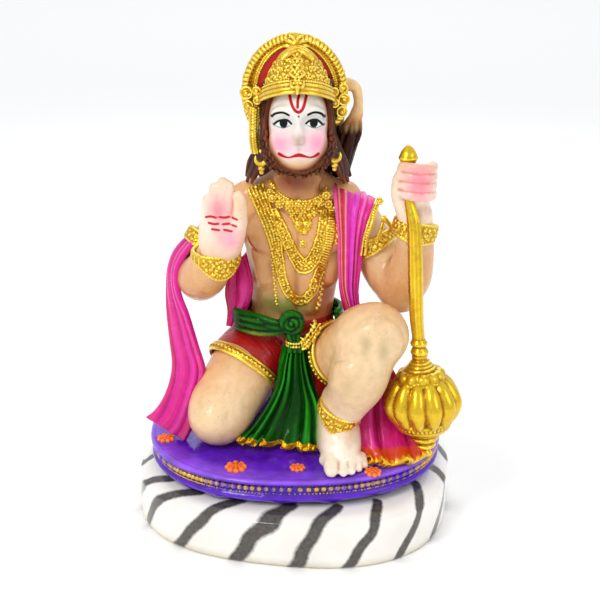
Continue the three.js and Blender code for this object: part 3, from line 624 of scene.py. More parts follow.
for code, spots in [  # each spot's strength, middle and reach
    ("#e8cea4", [(0.95, (-30, -24, 16), 22), (0.95, (30, -38, 48), 24)]),
    ("#dabb90", [(0.8, (22, -36, 29), 14)]),
    ("#faefde", [(0.98, (19, -42, 4), 18), (0.98, (-28, -27, 99), 17), (0.98, (46, -26, 106), 16)]),
    # painted light: pale patches on both elbows and the upper left arm, lightening them where they lie in
    # shade
    ("#f4dcb4", [(0.1, (-38, -8, 70), 9), (0.95, (31, -3, 86), 11), (0.3, (40, -4, 68), 10)]),
    # painted shade: darker under the raised arm's elbow, low on the kneeling leg by the seat, under the fist
    # and on the right flank
    ("#b87844", [
        (0.75, (-40, -9, 65), (9, 10, 8)), (0.6, (-36, -20, 5), (10, 10, 7)),
        (0.5, (49, -26, 101), (4, 9, 3.4)), (0.4, (-15, -6, 76), (6, 8, 12)),
    ]),
    ("#d8a66c", [(0.6, (0, -6, 78), (22, 16, 28))]),
    # dark brown on the neck: airbrushed, and also painted shade under the head and beard
    ("#7c2c00", [(1.02, (0, -4, 107.8), (10.5, 14, 6.8))]),
    ("#ee7c90", [(0.75, (-28.8, -29, 102.4), (4.4, 6, 6)), (0.3, (-27, -29, 96), (7, 6, 9))]),
    ("#f88cb0", [(0.7, (-24.6, -29, 90.4), (4.4, 6, 4.6))]),
    # tan on the thumb: painted shade that sets it off from the palm
    ("#e2bc8c", [(0.75, (-20.2, -29, 103.4), (2.6, 7, 6))]),
    ("#a89468", [
        (0.6, (26.9, -42, 52.8), (2, 9, 4)), (0.6, (33.8, -42, 51), (2.4, 9, 4.6)),
        (0.36, (20, -42, 37), (3, 9, 4)),
    ]),
    ("#c04418", [(0.95, (12.6, -6, 55), (8, 9, 8)), (0.6, (22, -14, 56), (10, 8, 6))]),
    ("#b4581a", [(0.8, (15, -2, 61), (6, 9, 9))]),
    ("#b8824c", [(0.5, (21.4, -37, 13), (2.2, 9, 6))]),
    ("#5c9a34", [(0.75, (8.4, -30, 12), (2.4, 9, 8))]),
    ("#4f8a34", [(0.8, (-6, -8, 55.6), (16, 9, 4)), (0.45, (-6, -30, 6), (9, 12, 10))]),
    ("#e8964c", [
        (0.5, (-40, -16, 30), (10, 12, 12)), (0.5, (30, -22, 66), (14, 10, 4)),
        (0.4, (-16, -26, 8), (8, 9, 7)),
    ]),
]:
    flesh = coated(flesh, code, sum(strength * bloom(at, middle, reach) for strength, middle, reach in spots))
flesh = coated(flesh, "#f27e96", 0.95 * bloom(at, (46.4, -33, 113), (7.4, 4, 9)) * (normal[:, 1] < -0.2))
# Painted shade in the hollows and creases: orange-brown in the broad hollows, dark brown in the fine creases,
# red-pink in the creases of the hands and tan in those of the foot.
flesh = coated(flesh, "#b86e2c", 0.7 * np.clip(broad / 0.6, 0, 1))
pale = np.clip(
    bloom(at, (46, -28, 112), 14) + bloom(at, (-28, -27, 98), 16) + bloom(at, (19, -42, 4), 15), 0, 1,
)
flesh = coated(flesh, "#8a4c28", 0.85 * (1 - pale) * np.clip((fine - 0.02) / 0.1, 0, 1))
flesh = coated(flesh, "#dc6a6c", 0.75 * pale * np.clip((fine - 0.01) / 0.1, 0, 1) * (at[:, 2] > 80))
flesh = coated(flesh, "#c89468", 0.7 * pale * np.clip((fine - 0.01) / 0.1, 0, 1) * (at[:, 2] < 20))
# the palm carries rows of short red strokes, and one stray stroke crosses the breast
red = np.full(len(at), 9.0)
for line in [
    [(-33.6, -28, 99), (-31.6, -28, 99.3), (-29.8, -28, 98.9)],
    [(-28.4, -28, 99.2), (-26.4, -28, 99), (-24.8, -28, 99.3)],
    [(-23.4, -28, 99.1), (-21.6, -28, 98.6)], [(-32.6, -28, 96.8), (-30.4, -28, 96.4), (-28.8, -28, 96.6)],
    [(-27.2, -28, 96.4), (-24.8, -28, 96.7)], [(-23.6, -28, 96.3), (-22, -28, 95.9)],
    [(-31.4, -28, 94.4), (-28.6, -28, 94)],
    [(-26.8, -28, 94.2), (-23.8, -28, 93.8)], [(-18.9, -8, 84.6), (-17.8, -8, 81.8), (-15.4, -8, 78.4)],
]:
    line = flowing(line, 4)
    near = from_line(at * (1, 0.12, 1), line * (1, 0.12, 1)) - 0.5
    red = np.minimum(red, np.where(at[:, 1] < -4, near, 9))
lay(skin_mesh, "red", red)


def overlaid(material, share, code):
    """Lays one more colour over the paint where a mask shows it."""
    out = material.node_tree.nodes["Principled BSDF"]
    under = out.inputs["Base Color"].links[0].from_socket
    material.node_tree.links.new(blended(material, share, under, code), out.inputs["Base Color"])


def inked(material, name, code, soft):
    """Lets brush lines of one colour show where the piece says that they run."""
    line = node(material, "Attribute", attribute_name=name)
    mask = node(material, "MapRange", {"Value": line.outputs["Fac"], "From Min": soft, "From Max": -soft})
    overlaid(material, mask.outputs["Result"], code)


# Flesh enamel, airbrushed and varnished: satin, with faint brown flecks and red strokes over it.
skin_enamel = enamel("airbrushed and varnished flesh enamel on resin", 0.3, 0.25, 0.35, 3.2, 0.08)
where = node(skin_enamel, "TexCoord").outputs["Object"]
flecks = node(skin_enamel, "TexVoronoi", {"Vector": where, "Scale": 620})
patches = node(skin_enamel, "TexNoise", {"Vector": where, "Scale": 90, "Detail": 3})
spot = node(skin_enamel, "MapRange", {"Value": flecks.outputs["Distance"], "From Min": 0.2, "From Max": 0.1})
share = node(skin_enamel, "MapRange", {
    "Value": patches.outputs["Fac"], "From Min": 0.42, "From Max": 0.6, "To Max": 0.4,
})
dotted = node(
    skin_enamel, "Math", {0: spot.outputs["Result"], 1: share.outputs["Result"]}, operation="MULTIPLY",
)
overlaid(skin_enamel, dotted.outputs[0], "#9a6238")
inked(skin_enamel, "red", "#b80c20", 0.14)
painted(skin_mesh, flesh, skin_enamel, keep=0.56, even=red > 1)


# Head: part of the same casting, a smooth round face with a broad muzzle and a small nose. It is
# painted porcelain white with pink cheeks, and eyes, brows, mouth and brow mark drawn with a brush.
head = Clay((-14, -27, 108), (17, 10, 150), 0.34)
head.ball((1.3, -4.4, 132.4), (11.9, 13.6, 17), 1)
head.ball((1.3, -8.4, 122.6), (10.8, 10.4, 8.6), 4)
head.ball((1.3, -12.6, 122.4), (10.4, 7.6, 6.6), 3)
head.ball((1.3, -12, 117.4), (7.6, 6.4, 4.4), 2.5)
head.limb([(1.3, -15.8, 139, 2.6), (1.3, -17, 134, 2.2), (1.4, -18.4, 130, 2)], 3)
head.ball((1.4, -20, 127.2), (2.2, 1.5, 2), 1.4)
for side in (-1, 1):
    head.ball((1.3 + side * 5.6, -13.8, 125.6), (4.8, 4.8, 4.6), 3)
    head.ball((1.4 + side * 1.3, -20.6, 126.2), (0.9, 0.9, 0.9), 0.6)
    head.ball((1.4 + side * 5.8, -19.6, 133), (4.4, 3, 2.6), 2.4, cut=True)
    head.limb(mirrored(side, 1.3, [(2.4, -16.8, 137, 1), (6, -16, 137.8, 1.2), (9.4, -13.4, 136, 1)]), 2)
    head.ball((1.4 + side * 5.8, -13.5, 132.5), (3.9, 3.9, 3.2), 0.5)
    lid = mirrored(side, 1.4, [
        (2.7, -16, 132.4, 0.35), (4.4, -17.1, 134, 0.45), (6.4, -17, 134.4, 0.45), (9.2, -14.6, 132.6, 0.35),
    ])
    head.limb(lid, 0.5)
    head.limb(mirrored(side, 1.4, [
        (3, -16.4, 131.9, 0.3), (6, -17, 130.5, 0.35), (8.8, -14.9, 131.6, 0.3),
    ]), 0.5)
    head.score(mirrored(side, 1.3, [(2.4, -21, 128.8), (3.4, -20.4, 126.4), (2.6, -20.6, 124.6)]), 0.2, 0.6)
head.score([(1.4, -22, 125), (1.5, -22.4, 123.4), (1.5, -22.2, 121.6)], 0.3, 0.5)
mouth = [
    (-5.8, 121.2), (-4.4, 120.5), (-2.4, 120.1), (-0.5, 120.7), (1.6, 121.2), (3.8, 120.7), (5.8, 120.1),
    (7.6, 120.4), (8.8, 121.1),
]
mouth_line = [(x, y, z) for (x, z), y in zip(mouth, (-17.4, -19, -20.2, -20.8, -21, -20.8, -20.2, -19, -17))]
head.score(mouth_line, 0.5, 0.5)
face_mesh, at, _, _ = head.skin("face", 3)
seen = at[:, [0, 2]]
face = layered(len(at), "#e6e2dc", [
    # grey in the eye sockets is painted shade
    ("#c4c6c4", 0.8 * sum(bloom(seen, m, (4.6, 2.4)) for m in ((-4.5, 133.6), (7.4, 133.6)))),
    ("#fa86a8", 0.95 * sum(bloom(seen, m, (4.4, 3.9)) for m in ((-5.2, 125.2), (8.2, 125.4)))),
    ("#fac8d6", 0.5 * bloom(seen, (1.5, 124.6), (9, 4))),
    ("#b4a48e", 0.9 * bloom(seen, (1.4, 127.2), (2.5, 2.1)) + 0.5 * bloom(seen, (1.5, 123.6), (1.2, 2.2))),
    ("#e0b488", 0.95 * bloom(seen, (1.5, 116.6), (8.6, 3)) * (at[:, 2] < 120.6)),
])
from_middle = np.hypot((at[:, 0] - 1.3) / 11.4, (at[:, 2] - 131.4) / 16.2)
face = coated(face, "#b87848", np.clip((from_middle - 0.88) / 0.14, 0, 0.9) * (at[:, 2] < 142))
face = coated(face, "#6a3418", np.clip((from_middle - 0.98) / 0.1, 0, 0.95) * (at[:, 2] < 142))
for white in [(-7.4, 131.9), (-4.6, 132.5), (-1.6, 132.6)], [(4.5, 132.6), (7.4, 132.5), (10.3, 131.9)]:
    shape = from_line(seen, white) - 1.4 * np.clip(1 - np.abs(seen[:, 0] - white[1][0]) / 3.6, 0, 1) ** 0.5
    face = coated(face, "#dcefe8", np.clip(0.4 - shape / 0.5, 0, 1) * 0.95)
black = np.full(len(at), 9.0)
for line, half in [
    ([(-8.8, 134.4), (-7.6, 135.8), (-5.6, 136.6), (-3.9, 136.6), (-2.3, 135.9)], 0.5),
    ([(5.1, 136), (6.9, 136.7), (8.6, 136.6), (10.2, 135.8), (11.4, 134.2)], 0.5),
    ([(-8.1, 131.7), (-6.5, 133.3), (-4.3, 134.1), (-2.6, 133.8), (-1.3, 132.5)], 0.42),
    ([(4.3, 132.6), (5.6, 133.7), (7.3, 134.2), (9, 133.6), (11.1, 131.3)], 0.42),
    ([(-7.4, 131.6), (-4.4, 130.9), (-1.9, 131.8)], 0.14),
    ([(4.8, 131.9), (7.4, 130.9), (10.3, 131.6)], 0.14),
]:
    black = np.minimum(black, from_line(seen, flowing(line, 5)) - half)
for middle in ((-4.2, 132.7), (7.2, 132.8)):
    black = np.minimum(black, np.hypot(seen[:, 0] - middle[0], (seen[:, 1] - middle[1]) / 1.12) - 1.52)
red = from_line(seen, flowing(mouth, 5)) - 0.58 - 0.2 * np.cos((seen[:, 0] - 1.7) * 0.8)
for line, half in [
    ([
        (-2, 143.4), (-1.4, 140.8), (-0.2, 138.2), (1.4, 137.2), (2.9, 138.2), (3.9, 140.8), (4.5, 143.2),
    ], 0.6),
    ([(1.6, 142.8), (1.2, 141.4), (1.1, 139)], 0.56),
    ([(1.5, 135.6), (1.5, 135.65)], 0.42),
]:
    red = np.minimum(red, from_line(seen, flowing(line, 5)) - half)
behind = np.where(at[:, 1] > -9, 9.0, 0.0)
lay(face_mesh, "black", black + behind)
lay(face_mesh, "red", red + behind)
# Porcelain-white enamel: smooth, with a soft varnish gloss, and lines brushed on in black and red.
face_enamel = enamel("white face enamel with brushed lines on resin", 0.32, 0.12, 0.12, 2, 0.03, shine=0.14)
inked(face_enamel, "black", "#060505", 0.12)
inked(face_enamel, "red", "#b80c1c", 0.14)
painted(face_mesh, face, face_enamel, keep=0.7, even=np.minimum(black, red) + behind > 1)


# Hair: wavy locks beside the cheeks and down the back, and a fringe of beard round the jaw, cast
# with the head and brushed with glossy dark brown, with painted highlights in red-brown on the
# raised strands and painted shade, near black, in the hollows between them.
hair = Clay((-26, -20, 88), (28, 28, 150), 0.46)
hair.column([
    (90, 1, 18, 8, 2.4), (98, 1, 15, 14.4, 5.4), (112, 1, 11.6, 14.6, 7.4), (130, 1, 7.6, 14, 9),
    (147, 1, 4, 12.6, 8.6),
], 1.5)
rng = np.random.default_rng(11)
for k in range(30):
    turn = radians(-4 + 188 * k / 29)
    c, s = cos(turn), sin(turn)
    wave = rng.uniform(0, 6)
    hair.limb([
        (1 + c * wide + 0.9 * sin(z * 0.36 + wave), mid + s * deep, z, 1.25)
        for z, wide, mid, deep in [
            (147, 12.6, 4, 8.6), (138, 13.6, 5.6, 9), (128, 14.2, 7.6, 8.8), (118, 14.8, 10, 8.2),
            (108, 15, 12.4, 7), (98, 13.6, 15, 5.4), (91.5, 9.8, 17, 3),
        ]
    ], 0.5)
for side in (-1, 1):
    for k in range(7):
        lean, wave = k * 0.65, rng.uniform(0, 6)
        hair.limb([
            (1.2 + side * x + 0.35 * sin(wave + z * 0.5), y, z, r)
            for x, y, z, r in [
                (10.2 + lean * 0.7, -8.6 + lean * 1.6, 146, 1),
                (11.3 + lean * 0.6, -8.4 + lean * 1.7, 138, 1.05),
                (12.2 + lean * 0.4, -7.8 + lean * 1.9, 129, 1.05),
                (12.4 + lean * 0.8, -6.4 + lean * 1.8, 121, 1.1),
                (14.4 + lean * 1.1, -4 + lean * 1.7, 113.6, 1.2),
                (17.4 + lean * 0.9, -1.6 + lean * 1.5, 107.4 - (k % 3), 0.7),
            ]
        ], 0.4)
jaw = flowing([
    (-10.8, -6.4, 130), (-10.4, -9.4, 122.4), (-7.2, -12.6, 116.6), (1.3, -15, 114), (9.8, -12.6, 116.6),
    (13, -9.4, 122.4), (13.4, -6.4, 130),
], 8)
hair.limb(np.hstack([jaw[::8], np.array([[1], [1.5], [2], [2.2], [2], [1.5], [1]])]), 1)
for root in jaw[3:-3]:
    for tier in range(7):
        x, y, z = root + rng.normal(0, 0.35, 3) + (
            (root[0] - 1.3) * 0.03 * tier, -0.9 + 0.12 * tier, 1.1 - 0.5 * tier,
        )
        hair.limb([(x, y, z, 0.6), (x + rng.normal(0, 0.3), y - 0.7, z - 0.9, 0.4)], 0.25, 1)
hair_mesh, at, _, (fine, _) = hair.skin("hair", 0)
beard = np.clip((122 - at[:, 2]) / 3, 0, 1) * (at[:, 1] < -8.6)
# Painted highlights, red-brown, on the raised strands and painted shade, near black, between them; the beard
# is paler brown.
locks = layered(len(at), "#40180c", [
    (
        "#8a4420",
        0.9 * np.clip(-fine / 0.09, 0, 1) * np.clip(0.5 + 0.5 * np.sin(at[:, 2] * 0.3 + at[:, 0]), 0.2, 1),
    ),
    ("#0e0604", np.clip(fine / 0.09, 0, 0.95)),
    ("#6a3c1c", 0.7 * beard * np.clip(0.3 - fine / 0.06, 0, 1)),
])
# Dark brown enamel: glossy, uneven where the brush ran along the strands.
hair_enamel = enamel("glossy dark brown enamel on resin", 0.4, 0.05, 0.3, 1.6, 0.2, shine=0.14)
painted(hair_mesh, locks, hair_enamel, keep=0.5)


# Tail: it rises from the base of the spine, climbs the back and loops over beside the crown. It is
# the same casting in flesh colour, ending in a tuft of dark brown hair with waved strands.
tail = Clay((-8, 2, 18), (32, 32, 150), 0.5)
tail.limb([
    (-1, 19, 26, 4.6), (1, 23.5, 44, 4.4), (6, 24.5, 72, 4.2), (13, 23, 100, 4), (16, 19, 122, 3.8),
    (16.8, 14, 136, 3.5), (19.6, 11.6, 142.2, 2.8), (23.8, 11, 141.4, 2.2), (25.2, 10.8, 136.4, 1.9),
    (24.8, 10.4, 131, 2.2),
], 1, 6)
tail.limb([(24.4, 10.4, 131, 2), (22.4, 9.6, 124, 3.2), (19.8, 9, 116, 3), (18.4, 8.4, 108.6, 1.4)], 2)
for k in range(14):
    c, s = cos(k * 0.45), sin(k * 0.45)
    tail.limb([
        (24.4 + c * 1.7, 10.4 + s * 2, 131.4, 0.6),
        (22 + c * 3.6 + 0.8 * sin(k * 2), 9.8 + s * 3.8, 123.6, 0.95),
        (19.6 + c * 3.2 + 0.6 * cos(k * 3), 9.2 + s * 3.6, 115.6, 0.95),
        (18.6 + c * 2.2 + 0.6 * cos(k), 8.6 + s * 2, 107.4 - (k % 3), 0.6),
    ], 0.35)
tail_mesh, at, _, (fine, _) = tail.skin("tail")
tuft = np.clip((129 + 0.7 * np.sin(at[:, 0] * 3) - at[:, 2]) / 5, 0, 1)
tuft = tuft * (at[:, 0] > 12) * (at[:, 1] < 15.6) * (at[:, 2] > 90)
# A painted highlight on the top of the loop, painted highlights on the tuft's raised strands, and painted
# shade, brown, in the creases of the flesh.
furry = layered(len(at), "#ecc48c", [
    ("#f4d8a8", 0.3 * bloom(at, (24, 8, 140), (4, 8, 6))),
    ("#b06a30", 0.7 * bloom(at[:, [2]], (128.4,), (2.4,)) * (at[:, 1] < 15.6)),
    ("#160603", tuft),
    ("#5c2810", tuft * np.clip(-fine / 0.14, 0, 0.5)),
    ("#9a5c36", 0.7 * (1 - tuft) * np.clip((fine - 0.02) / 0.12, 0, 1)),
])
# Flesh and dark brown enamel in one coat: satin, with a fine ripple from the brush.
tail_enamel = enamel("flesh and dark brown enamel on resin", 0.36, 0.03, 0.3, 2.2, 0.1, shine=0.12)
painted(tail_mesh, furry, tail_enamel, keep=0.4)


# Crown: a domed cap under a fluted halo, with bosses at the temples, earrings and a braid at the
# cheek, all modelled in relief in the one casting and brushed with gold bronze powder paint. The
# red field behind the dome is a sheet of enamel on the halo's front.
crown = Clay((-26, -26, 106), (26, 12, 167), 0.32)
cap_middle, cap_lean = np.array((1, -3.6, 142)), np.array(Euler((-0.3, 0, 0)).to_matrix())


def on_cap(degrees, height, out=0.0):
    """A place on the cap's surface: degrees round it, with -90 in front, and a height above its rim,
    which arches over the brow."""
    wide = np.interp(
        height, [-3, 0, 3, 6, 9, 11.5, 13.5, 15.5, 17, 18],
        [13.8, 13.8, 12.8, 11.4, 9.8, 8.2, 6.2, 4.2, 2.4, 0.4],
    ) + out
    a = radians(degrees)
    sag = 1.4 * cos(a) ** 2 * max(0, 1 - max(height, 0) / 9)
    return cap_lean @ (
        wide * cos(a), wide * 1.1 * sin(a), height - sag + out * max(0, (height - 8) / 10),
    ) + cap_middle


def along_cap(side, rows):
    """Rows of a place on the cap and a radius, with the degrees counted from the front to one side."""
    return [(*on_cap(-90 + side * turn, height, out), r) for turn, height, out, r in rows]


for a in range(-360, 0, 8):
    crown.limb([(*on_cap(a, h, -1), 1.1) for h in (-1.2, 2, 5, 8, 11, 13.5, 15.5, 17, 17.6)], 0.4, 2)
crown.ball(cap_lean @ (0, 0, 4) + cap_middle, (11.6, 12.8, 4.6), 1, turn=(-0.3, 0, 0))
crown.ball(cap_lean @ (0, 0, 8.4) + cap_middle, (8.6, 9.6, 8.6), 1, turn=(-0.3, 0, 0))
for height, r in ((-2, 0.7), (-0.7, 0.85), (0.9, 0.75)):
    crown.limb([(*on_cap(a, height, 0.35), r) for a in range(-360, 1, 6)], 0.25, 1)
for a in np.arange(-360, 0, 4):
    crown.ball(on_cap(a, 2.3, 0.4), 0.55, 0.2)


def unit(way):
    """A direction with a length of one."""
    return np.array(way, float) / np.linalg.norm(way)


def basis(outward):
    """The direction that a boss faces, and the two across and up its face."""
    across = unit(np.cross(unit(outward), (0, 0.1, 1)))
    return unit(outward), across, np.cross(across, unit(outward))


def rosette(clay, middle, outward, r, petals=7):
    """A round boss in relief: a ring of petals round a bead, facing outward."""
    outward, across, up = basis(outward)
    for t in np.arange(petals) / petals * 2 * pi:
        clay.ball(np.array(middle) + r * 0.72 * (cos(t) * across + sin(t) * up), r * 0.34, 0.2)
    clay.ball(np.array(middle) + outward * r * 0.2, r * 0.36, 0.15)


def scroll(clay, middle, outward, r, start, thick=0.42, sweep=5.2):
    """A little curl of filigree that winds in on itself."""
    outward, across, up = basis(outward)
    turns = np.linspace(start, start + sweep, 10)
    clay.limb([
        (*(np.array(middle) + r * (1 - 0.11 * k) * (cos(t) * across + sin(t) * up)), thick)
        for k, t in enumerate(turns)
    ], 0.15, 1)
    clay.ball(np.array(middle) + outward * 0.1, thick * 1.15, 0.15)


rng = np.random.default_rng(3)
for height, step, r in ((4.4, 15, 1.4), (7.4, 17, 1.35), (10.2, 21, 1.3), (13, 30, 1.2)):
    for k, a in enumerate(np.arange(-360, -1, step)):
        away = on_cap(a, height, 2) - on_cap(a, height)
        scroll(crown, on_cap(a, height, 0.25), away, r, k * 2.1, 0.4)
        crown.ball(on_cap(a + step / 2, height + 0.7, 0.35), 0.55, 0.2)
        crown.ball(on_cap(a + step / 2, height - 0.8, 0.35), 0.45, 0.2)
for _ in range(300):
    crown.ball(on_cap(rng.uniform(-360, 0), rng.uniform(3, 16), 0.15), rng.uniform(0.3, 0.5), 0.15)
for side in (-1, 1):
    for rows in [
        [
            (80, 9.4, -0.9, 0.9), (66, 11.8, -0.6, 1.5), (44, 13.4, 0, 1.8), (18, 15, 0.2, 1.7),
            (0, 16.2, 0.2, 1.3),
        ],
        [(36, 11.2, 0.9, 0.9), (22, 12.8, 1.2, 1.4), (4, 14.2, 1, 1.3)],
    ]:
        crown.limb(along_cap(side, rows), 0.3)
    for k in range(4):
        z = k * 2.5
        leaf = [(3, 3.4 + z, 0.8, 0.65), (12 - k, 5 + z, 0.9, 0.55), (9 - k, 6.4 + z, 0.8, 0.4)]
        crown.limb(along_cap(side, leaf), 0.25)
for k in range(4):
    crown.ball(on_cap(-90, 4.4 + k * 2.6, 1), (0.8, 0.8, 1.1), 0.25)
rosette(crown, on_cap(-90, 1.2, 1.1), (0, -1, 0.2), 1.7, 6)
crown.limb(along_cap(1, [(0, -0.4, 1.2, 1), (0, -2.8, 1.1, 0.4)]), 0.3)
for side in (-1, 1):
    crown.limb(along_cap(side, [(2, -0.4, 1.2, 0.5), (8, 0, 1.2, 0.6), (10, 2.2, 1, 0.4)]), 0.25)
halo_middle, halo_reach = np.array((-0.1, 140.5)), np.array((20.5, 23))


def on_halo(angle, share, y):
    """A place on the halo's outer rings, at a share of its reach."""
    x, z = halo_middle + share * halo_reach * (cos(angle), sin(angle))
    return np.array((x, y, z))


arch_ends = (-0.55, pi + 0.55)
arch = np.linspace(*arch_ends, 53)
crown.ball((-0.1, 4.6, 140.5), (19, 1.6, 21.4), 1)
crown.limb([(*on_halo(a, 0.92, 3.4), 1.9) for a in arch], 0.5, 1)
inner_reach = np.array((17.2, 20.8))


def inside_halo(angle, share, y):
    """A place on the halo's inner rings, which are taller in shape and a little thicker at the left."""
    x, z = halo_middle + share * inner_reach * (cos(angle), sin(angle))
    return np.array((x + 0.35 * (1 - cos(angle)), y, z))


crown.limb([(*inside_halo(a, 1, 2.6), 0.6) for a in arch], 0.3, 1)
for a in arch:
    tip = a + rng.uniform(-0.015, 0.04)
    flute = [(*on_halo(a, 0.87, 1.8), 0.45), (*on_halo(a, 0.92, 1.3), rng.uniform(0.65, 0.85))]
    flute += [(*on_halo(tip, 0.98 + rng.uniform(-0.01, 0.02), 2.4), 0.7), (*on_halo(tip, 0.98, 4.6), 0.6)]
    crown.limb(flute, 0.2, 2)
    crown.ball(on_halo(a + 0.035, 0.9, 1.2), 0.4, 0.15)
for a in np.linspace(*arch_ends, 90):
    crown.ball(inside_halo(a, 0.97, 1.9), 0.42, 0.15)
    crown.ball(inside_halo(a, 0.915, 1.6), 0.38, 0.15)
for share, r in ((0.945, 0.75), (0.9, 0.45)):
    crown.limb([(*inside_halo(a, share, 2.4), r) for a in arch], 0.3, 1)
crown.limb([(0.4, -1, 157.4, 1.4), (0.4, -0.4, 160, 2), (0.2, 1.4, 163.4, 0.9)], 0.5)
for side in (-1, 1):
    for z, far, r in ((157.6, 5.2, 0.9), (159.4, 3.8, 0.8), (161, 2.4, 0.6)):
        crown.limb([
            (0.4, -1.6, z, r), (0.4 + side * far * 0.6, -1, z + 1.6, r), (0.4 + side * far, 0, z + 1.2, 0.4),
        ], 0.3)
for place, r in [
    ((-18.7, -1.6, 141.6), 2.7), ((-18, -1.8, 136.6), 2.2), ((-14.6, -4.2, 142.8), 1.7),
    ((-14.4, -4.6, 139.2), 1.6), ((-16.8, -2.4, 133), 1.5), ((19, -1.2, 139), 2.5),
    ((18.2, -1.4, 134.2), 2.3), ((18.8, -1, 143.2), 1.9), ((15.2, -4.2, 142.4), 1.7), ((15.4, -4, 138), 1.8),
]:
    crown.ball(place, (r, 1.2, r), 0.5)
    outward, across, up = basis((np.sign(place[0]) * 0.25, -1, 0))
    face_middle, rim_r = np.array(place) - (0, 1, 0), 0.84 * r
    rim = [face_middle + rim_r * (cos(t) * across + sin(t) * up) for t in np.linspace(0, 2 * pi, 17)]
    crown.limb([(*spot, 0.42) for spot in rim], 0.2, 1)
    scroll(crown, np.array(place) - (0, 1.2, 0), outward, r * 0.52, place[2], 0.4, 5.6)
    crown.ball(np.array(place) - (0, 1.5, 0), r * 0.26, 0.2)
braid = flowing([
    (-15.4, -4.4, 136), (-15.7, -4.8, 131), (-15.8, -4.8, 126), (-15.5, -5, 121.6), (-15, -5.2, 118.6),
], 9)
crown.limb([(*(p + (-1.5, 0.6, 0)), 0.65) for p in braid[::4]], 0.3, 4)
for k, place in enumerate(braid):
    crown.ball(place + ((0.45 if k % 2 else -0.45), -0.2, 0), (0.75, 0.8, 0.6), 0.2)
    crown.ball(place + (1.5, 0.4, 0), (0.42, 0.6, 0.42), 0.2)
for side, z, y in ((-1, 117, -6.4), (1, 118, -5)):
    x = 1.2 + side * 14.4
    moon = [
        (x + 2.07 * cos(t), y - 0.6, z + 2.3 * sin(t), 0.35 + 0.75 * sin((t - 2.8) / 3.9 * pi))
        for t in np.linspace(2.8, 6.7, 12)
    ]
    crown.limb(moon, 0.3, 2)
    crown.ball((x - 0.2 * side, y - 0.8, z - 4), (1.3, 1, 1.1), 0.3)
    crown.ball((x - 0.2 * side, y - 0.6, z - 5.6), (0.9, 0.8, 1), 0.3)
    crown.ball((x, y - 0.4, z + 2.8), 0.8, 0.3)
# Gold bronze powder in varnish: metallic and fairly rough. The pieces' own colours bring painted highlights
# to ridges and painted shade, brown, to the hollows.
gold_paint = enamel("gold bronze powder paint on resin", 0.3, 0.2, 0.12, 0.9, 0.1)


def gold_leafed(clay, name, keep=1.0):
    """Skins a form and gilds it, with painted highlights on its ridges and painted shade, brown, in its
    hollows, where the paint is also less metallic.
    """
    mesh, points, _, (fine, _) = clay.skin(name, 0)
    # pale yellow on ridges is painted highlight, the browns in hollows are painted shade
    colours = layered(len(points), "#d4a016", [
        ("#ffec64", np.clip(-fine / 0.08, 0, 0.95)),
        ("#b07410", np.clip((fine - 0.01) / 0.06, 0, 0.85)),
        ("#5c2c08", np.clip((fine - 0.05) / 0.1, 0, 0.9)),
    ])
    painted(mesh, colours, gold_paint, 0.8 - np.clip((fine - 0.03) / 0.12, 0, 0.5), keep=keep)


gold_leafed(crown, "crown", 0.55)
field = bmesh.new()
bmesh.ops.create_uvsphere(field, u_segments=48, v_segments=24, radius=1)
reach, middle = (17.4, 1.5, 20.6), (-0.1, 3, 140.5 + SEAT_TOP)
for vert in field.verts:
    vert.co = [(share * far + start) / 1000 for share, far, start in zip(vert.co, reach, middle)]
field_mesh = bpy.data.meshes.new("halo_field")
field.to_mesh(field_mesh)
# Red enamel: glossy, brushed on a little unevenly.
red_enamel = enamel("glossy red enamel on resin", 0.34, 0.2, 0.3, 2.5, 0.12)
painted(field_mesh, layered(len(field_mesh.vertices), "#b80a0e", []), red_enamel)


# Necklaces: a choker of three chains with leaf ornaments and a filigree breastplate, a garland and
# a long rope of chains, cast in relief on the chest and brushed with gold.
gold = Clay((-24, -24, 50), (24, 12, 112), 0.3)


def on_chest(places, lift):
    """Lays places given by x and z on the chest as the camera sees them, a little proud of it."""
    laid = chest.hit(places, -9)
    near = np.pad(laid[:, 1], 1, "edge")
    laid[:, 1] = np.minimum(np.convolve(near, np.ones(3) / 3, "valid"), laid[:, 1]) - lift
    return laid


def even(line, pitch):
    """Places at even steps along a smooth line."""
    fine = flowing(line, 12)
    run = np.concatenate([[0], np.cumsum(np.linalg.norm(np.diff(fine, axis=0), axis=1))])
    steps = np.arange(0, run[-1], pitch)
    return np.column_stack([np.interp(steps, run, fine[:, k]) for k in range(fine.shape[1])])


def beads(clay, places, r, swing=0.0):
    """A row of beads, each second one swung the other way."""
    for k, place in enumerate(places):
        clay.ball(place + (swing * (-1) ** k, 0, 0.3 * swing * (-1) ** k), r, 0.18)


def chain(clay, places, r, blend=0.25):
    """A plain cord of one thickness."""
    clay.limb(np.column_stack([places, np.full(len(places), r)]), blend, 1)


def garland(clay, middle_line, strands, rungs=0.0):
    """A broad necklace of several strands: rows of x, z and half width, with cords at the edges
    and beads within. Small rungs cross it from a share of its length on, if one is given."""
    rows = even(middle_line, 1.05)
    along = np.gradient(rows[:, :2], axis=0)
    along /= np.linalg.norm(along, axis=1)[:, None]
    side = np.column_stack([-along[:, 1], along[:, 0]])
    for k in range(strands):
        share = 2 * k / (strands - 1) - 1
        laid = on_chest(rows[:, :2] + side * rows[:, 2:3] * share, 0.5)
        chain(clay, laid + (0, 0.8, 0), 0.85)
        if k in (0, strands - 1):
            chain(clay, laid - (0, 0.1, 0), 0.42)
        for spot in laid:
            clay.ball(spot + rng.normal(0, 0.16, 3), rng.uniform(0.38, 0.62), 0.18)
    if rungs:
        first = int(len(rows) * rungs)
        for row, across in zip(rows[first:], side[first:]):
            reach = across * row[2] * 0.8
            ends = on_chest([row[:2] - reach, row[:2] + reach], 1)
            chain(clay, ends, 0.4, 0.15)


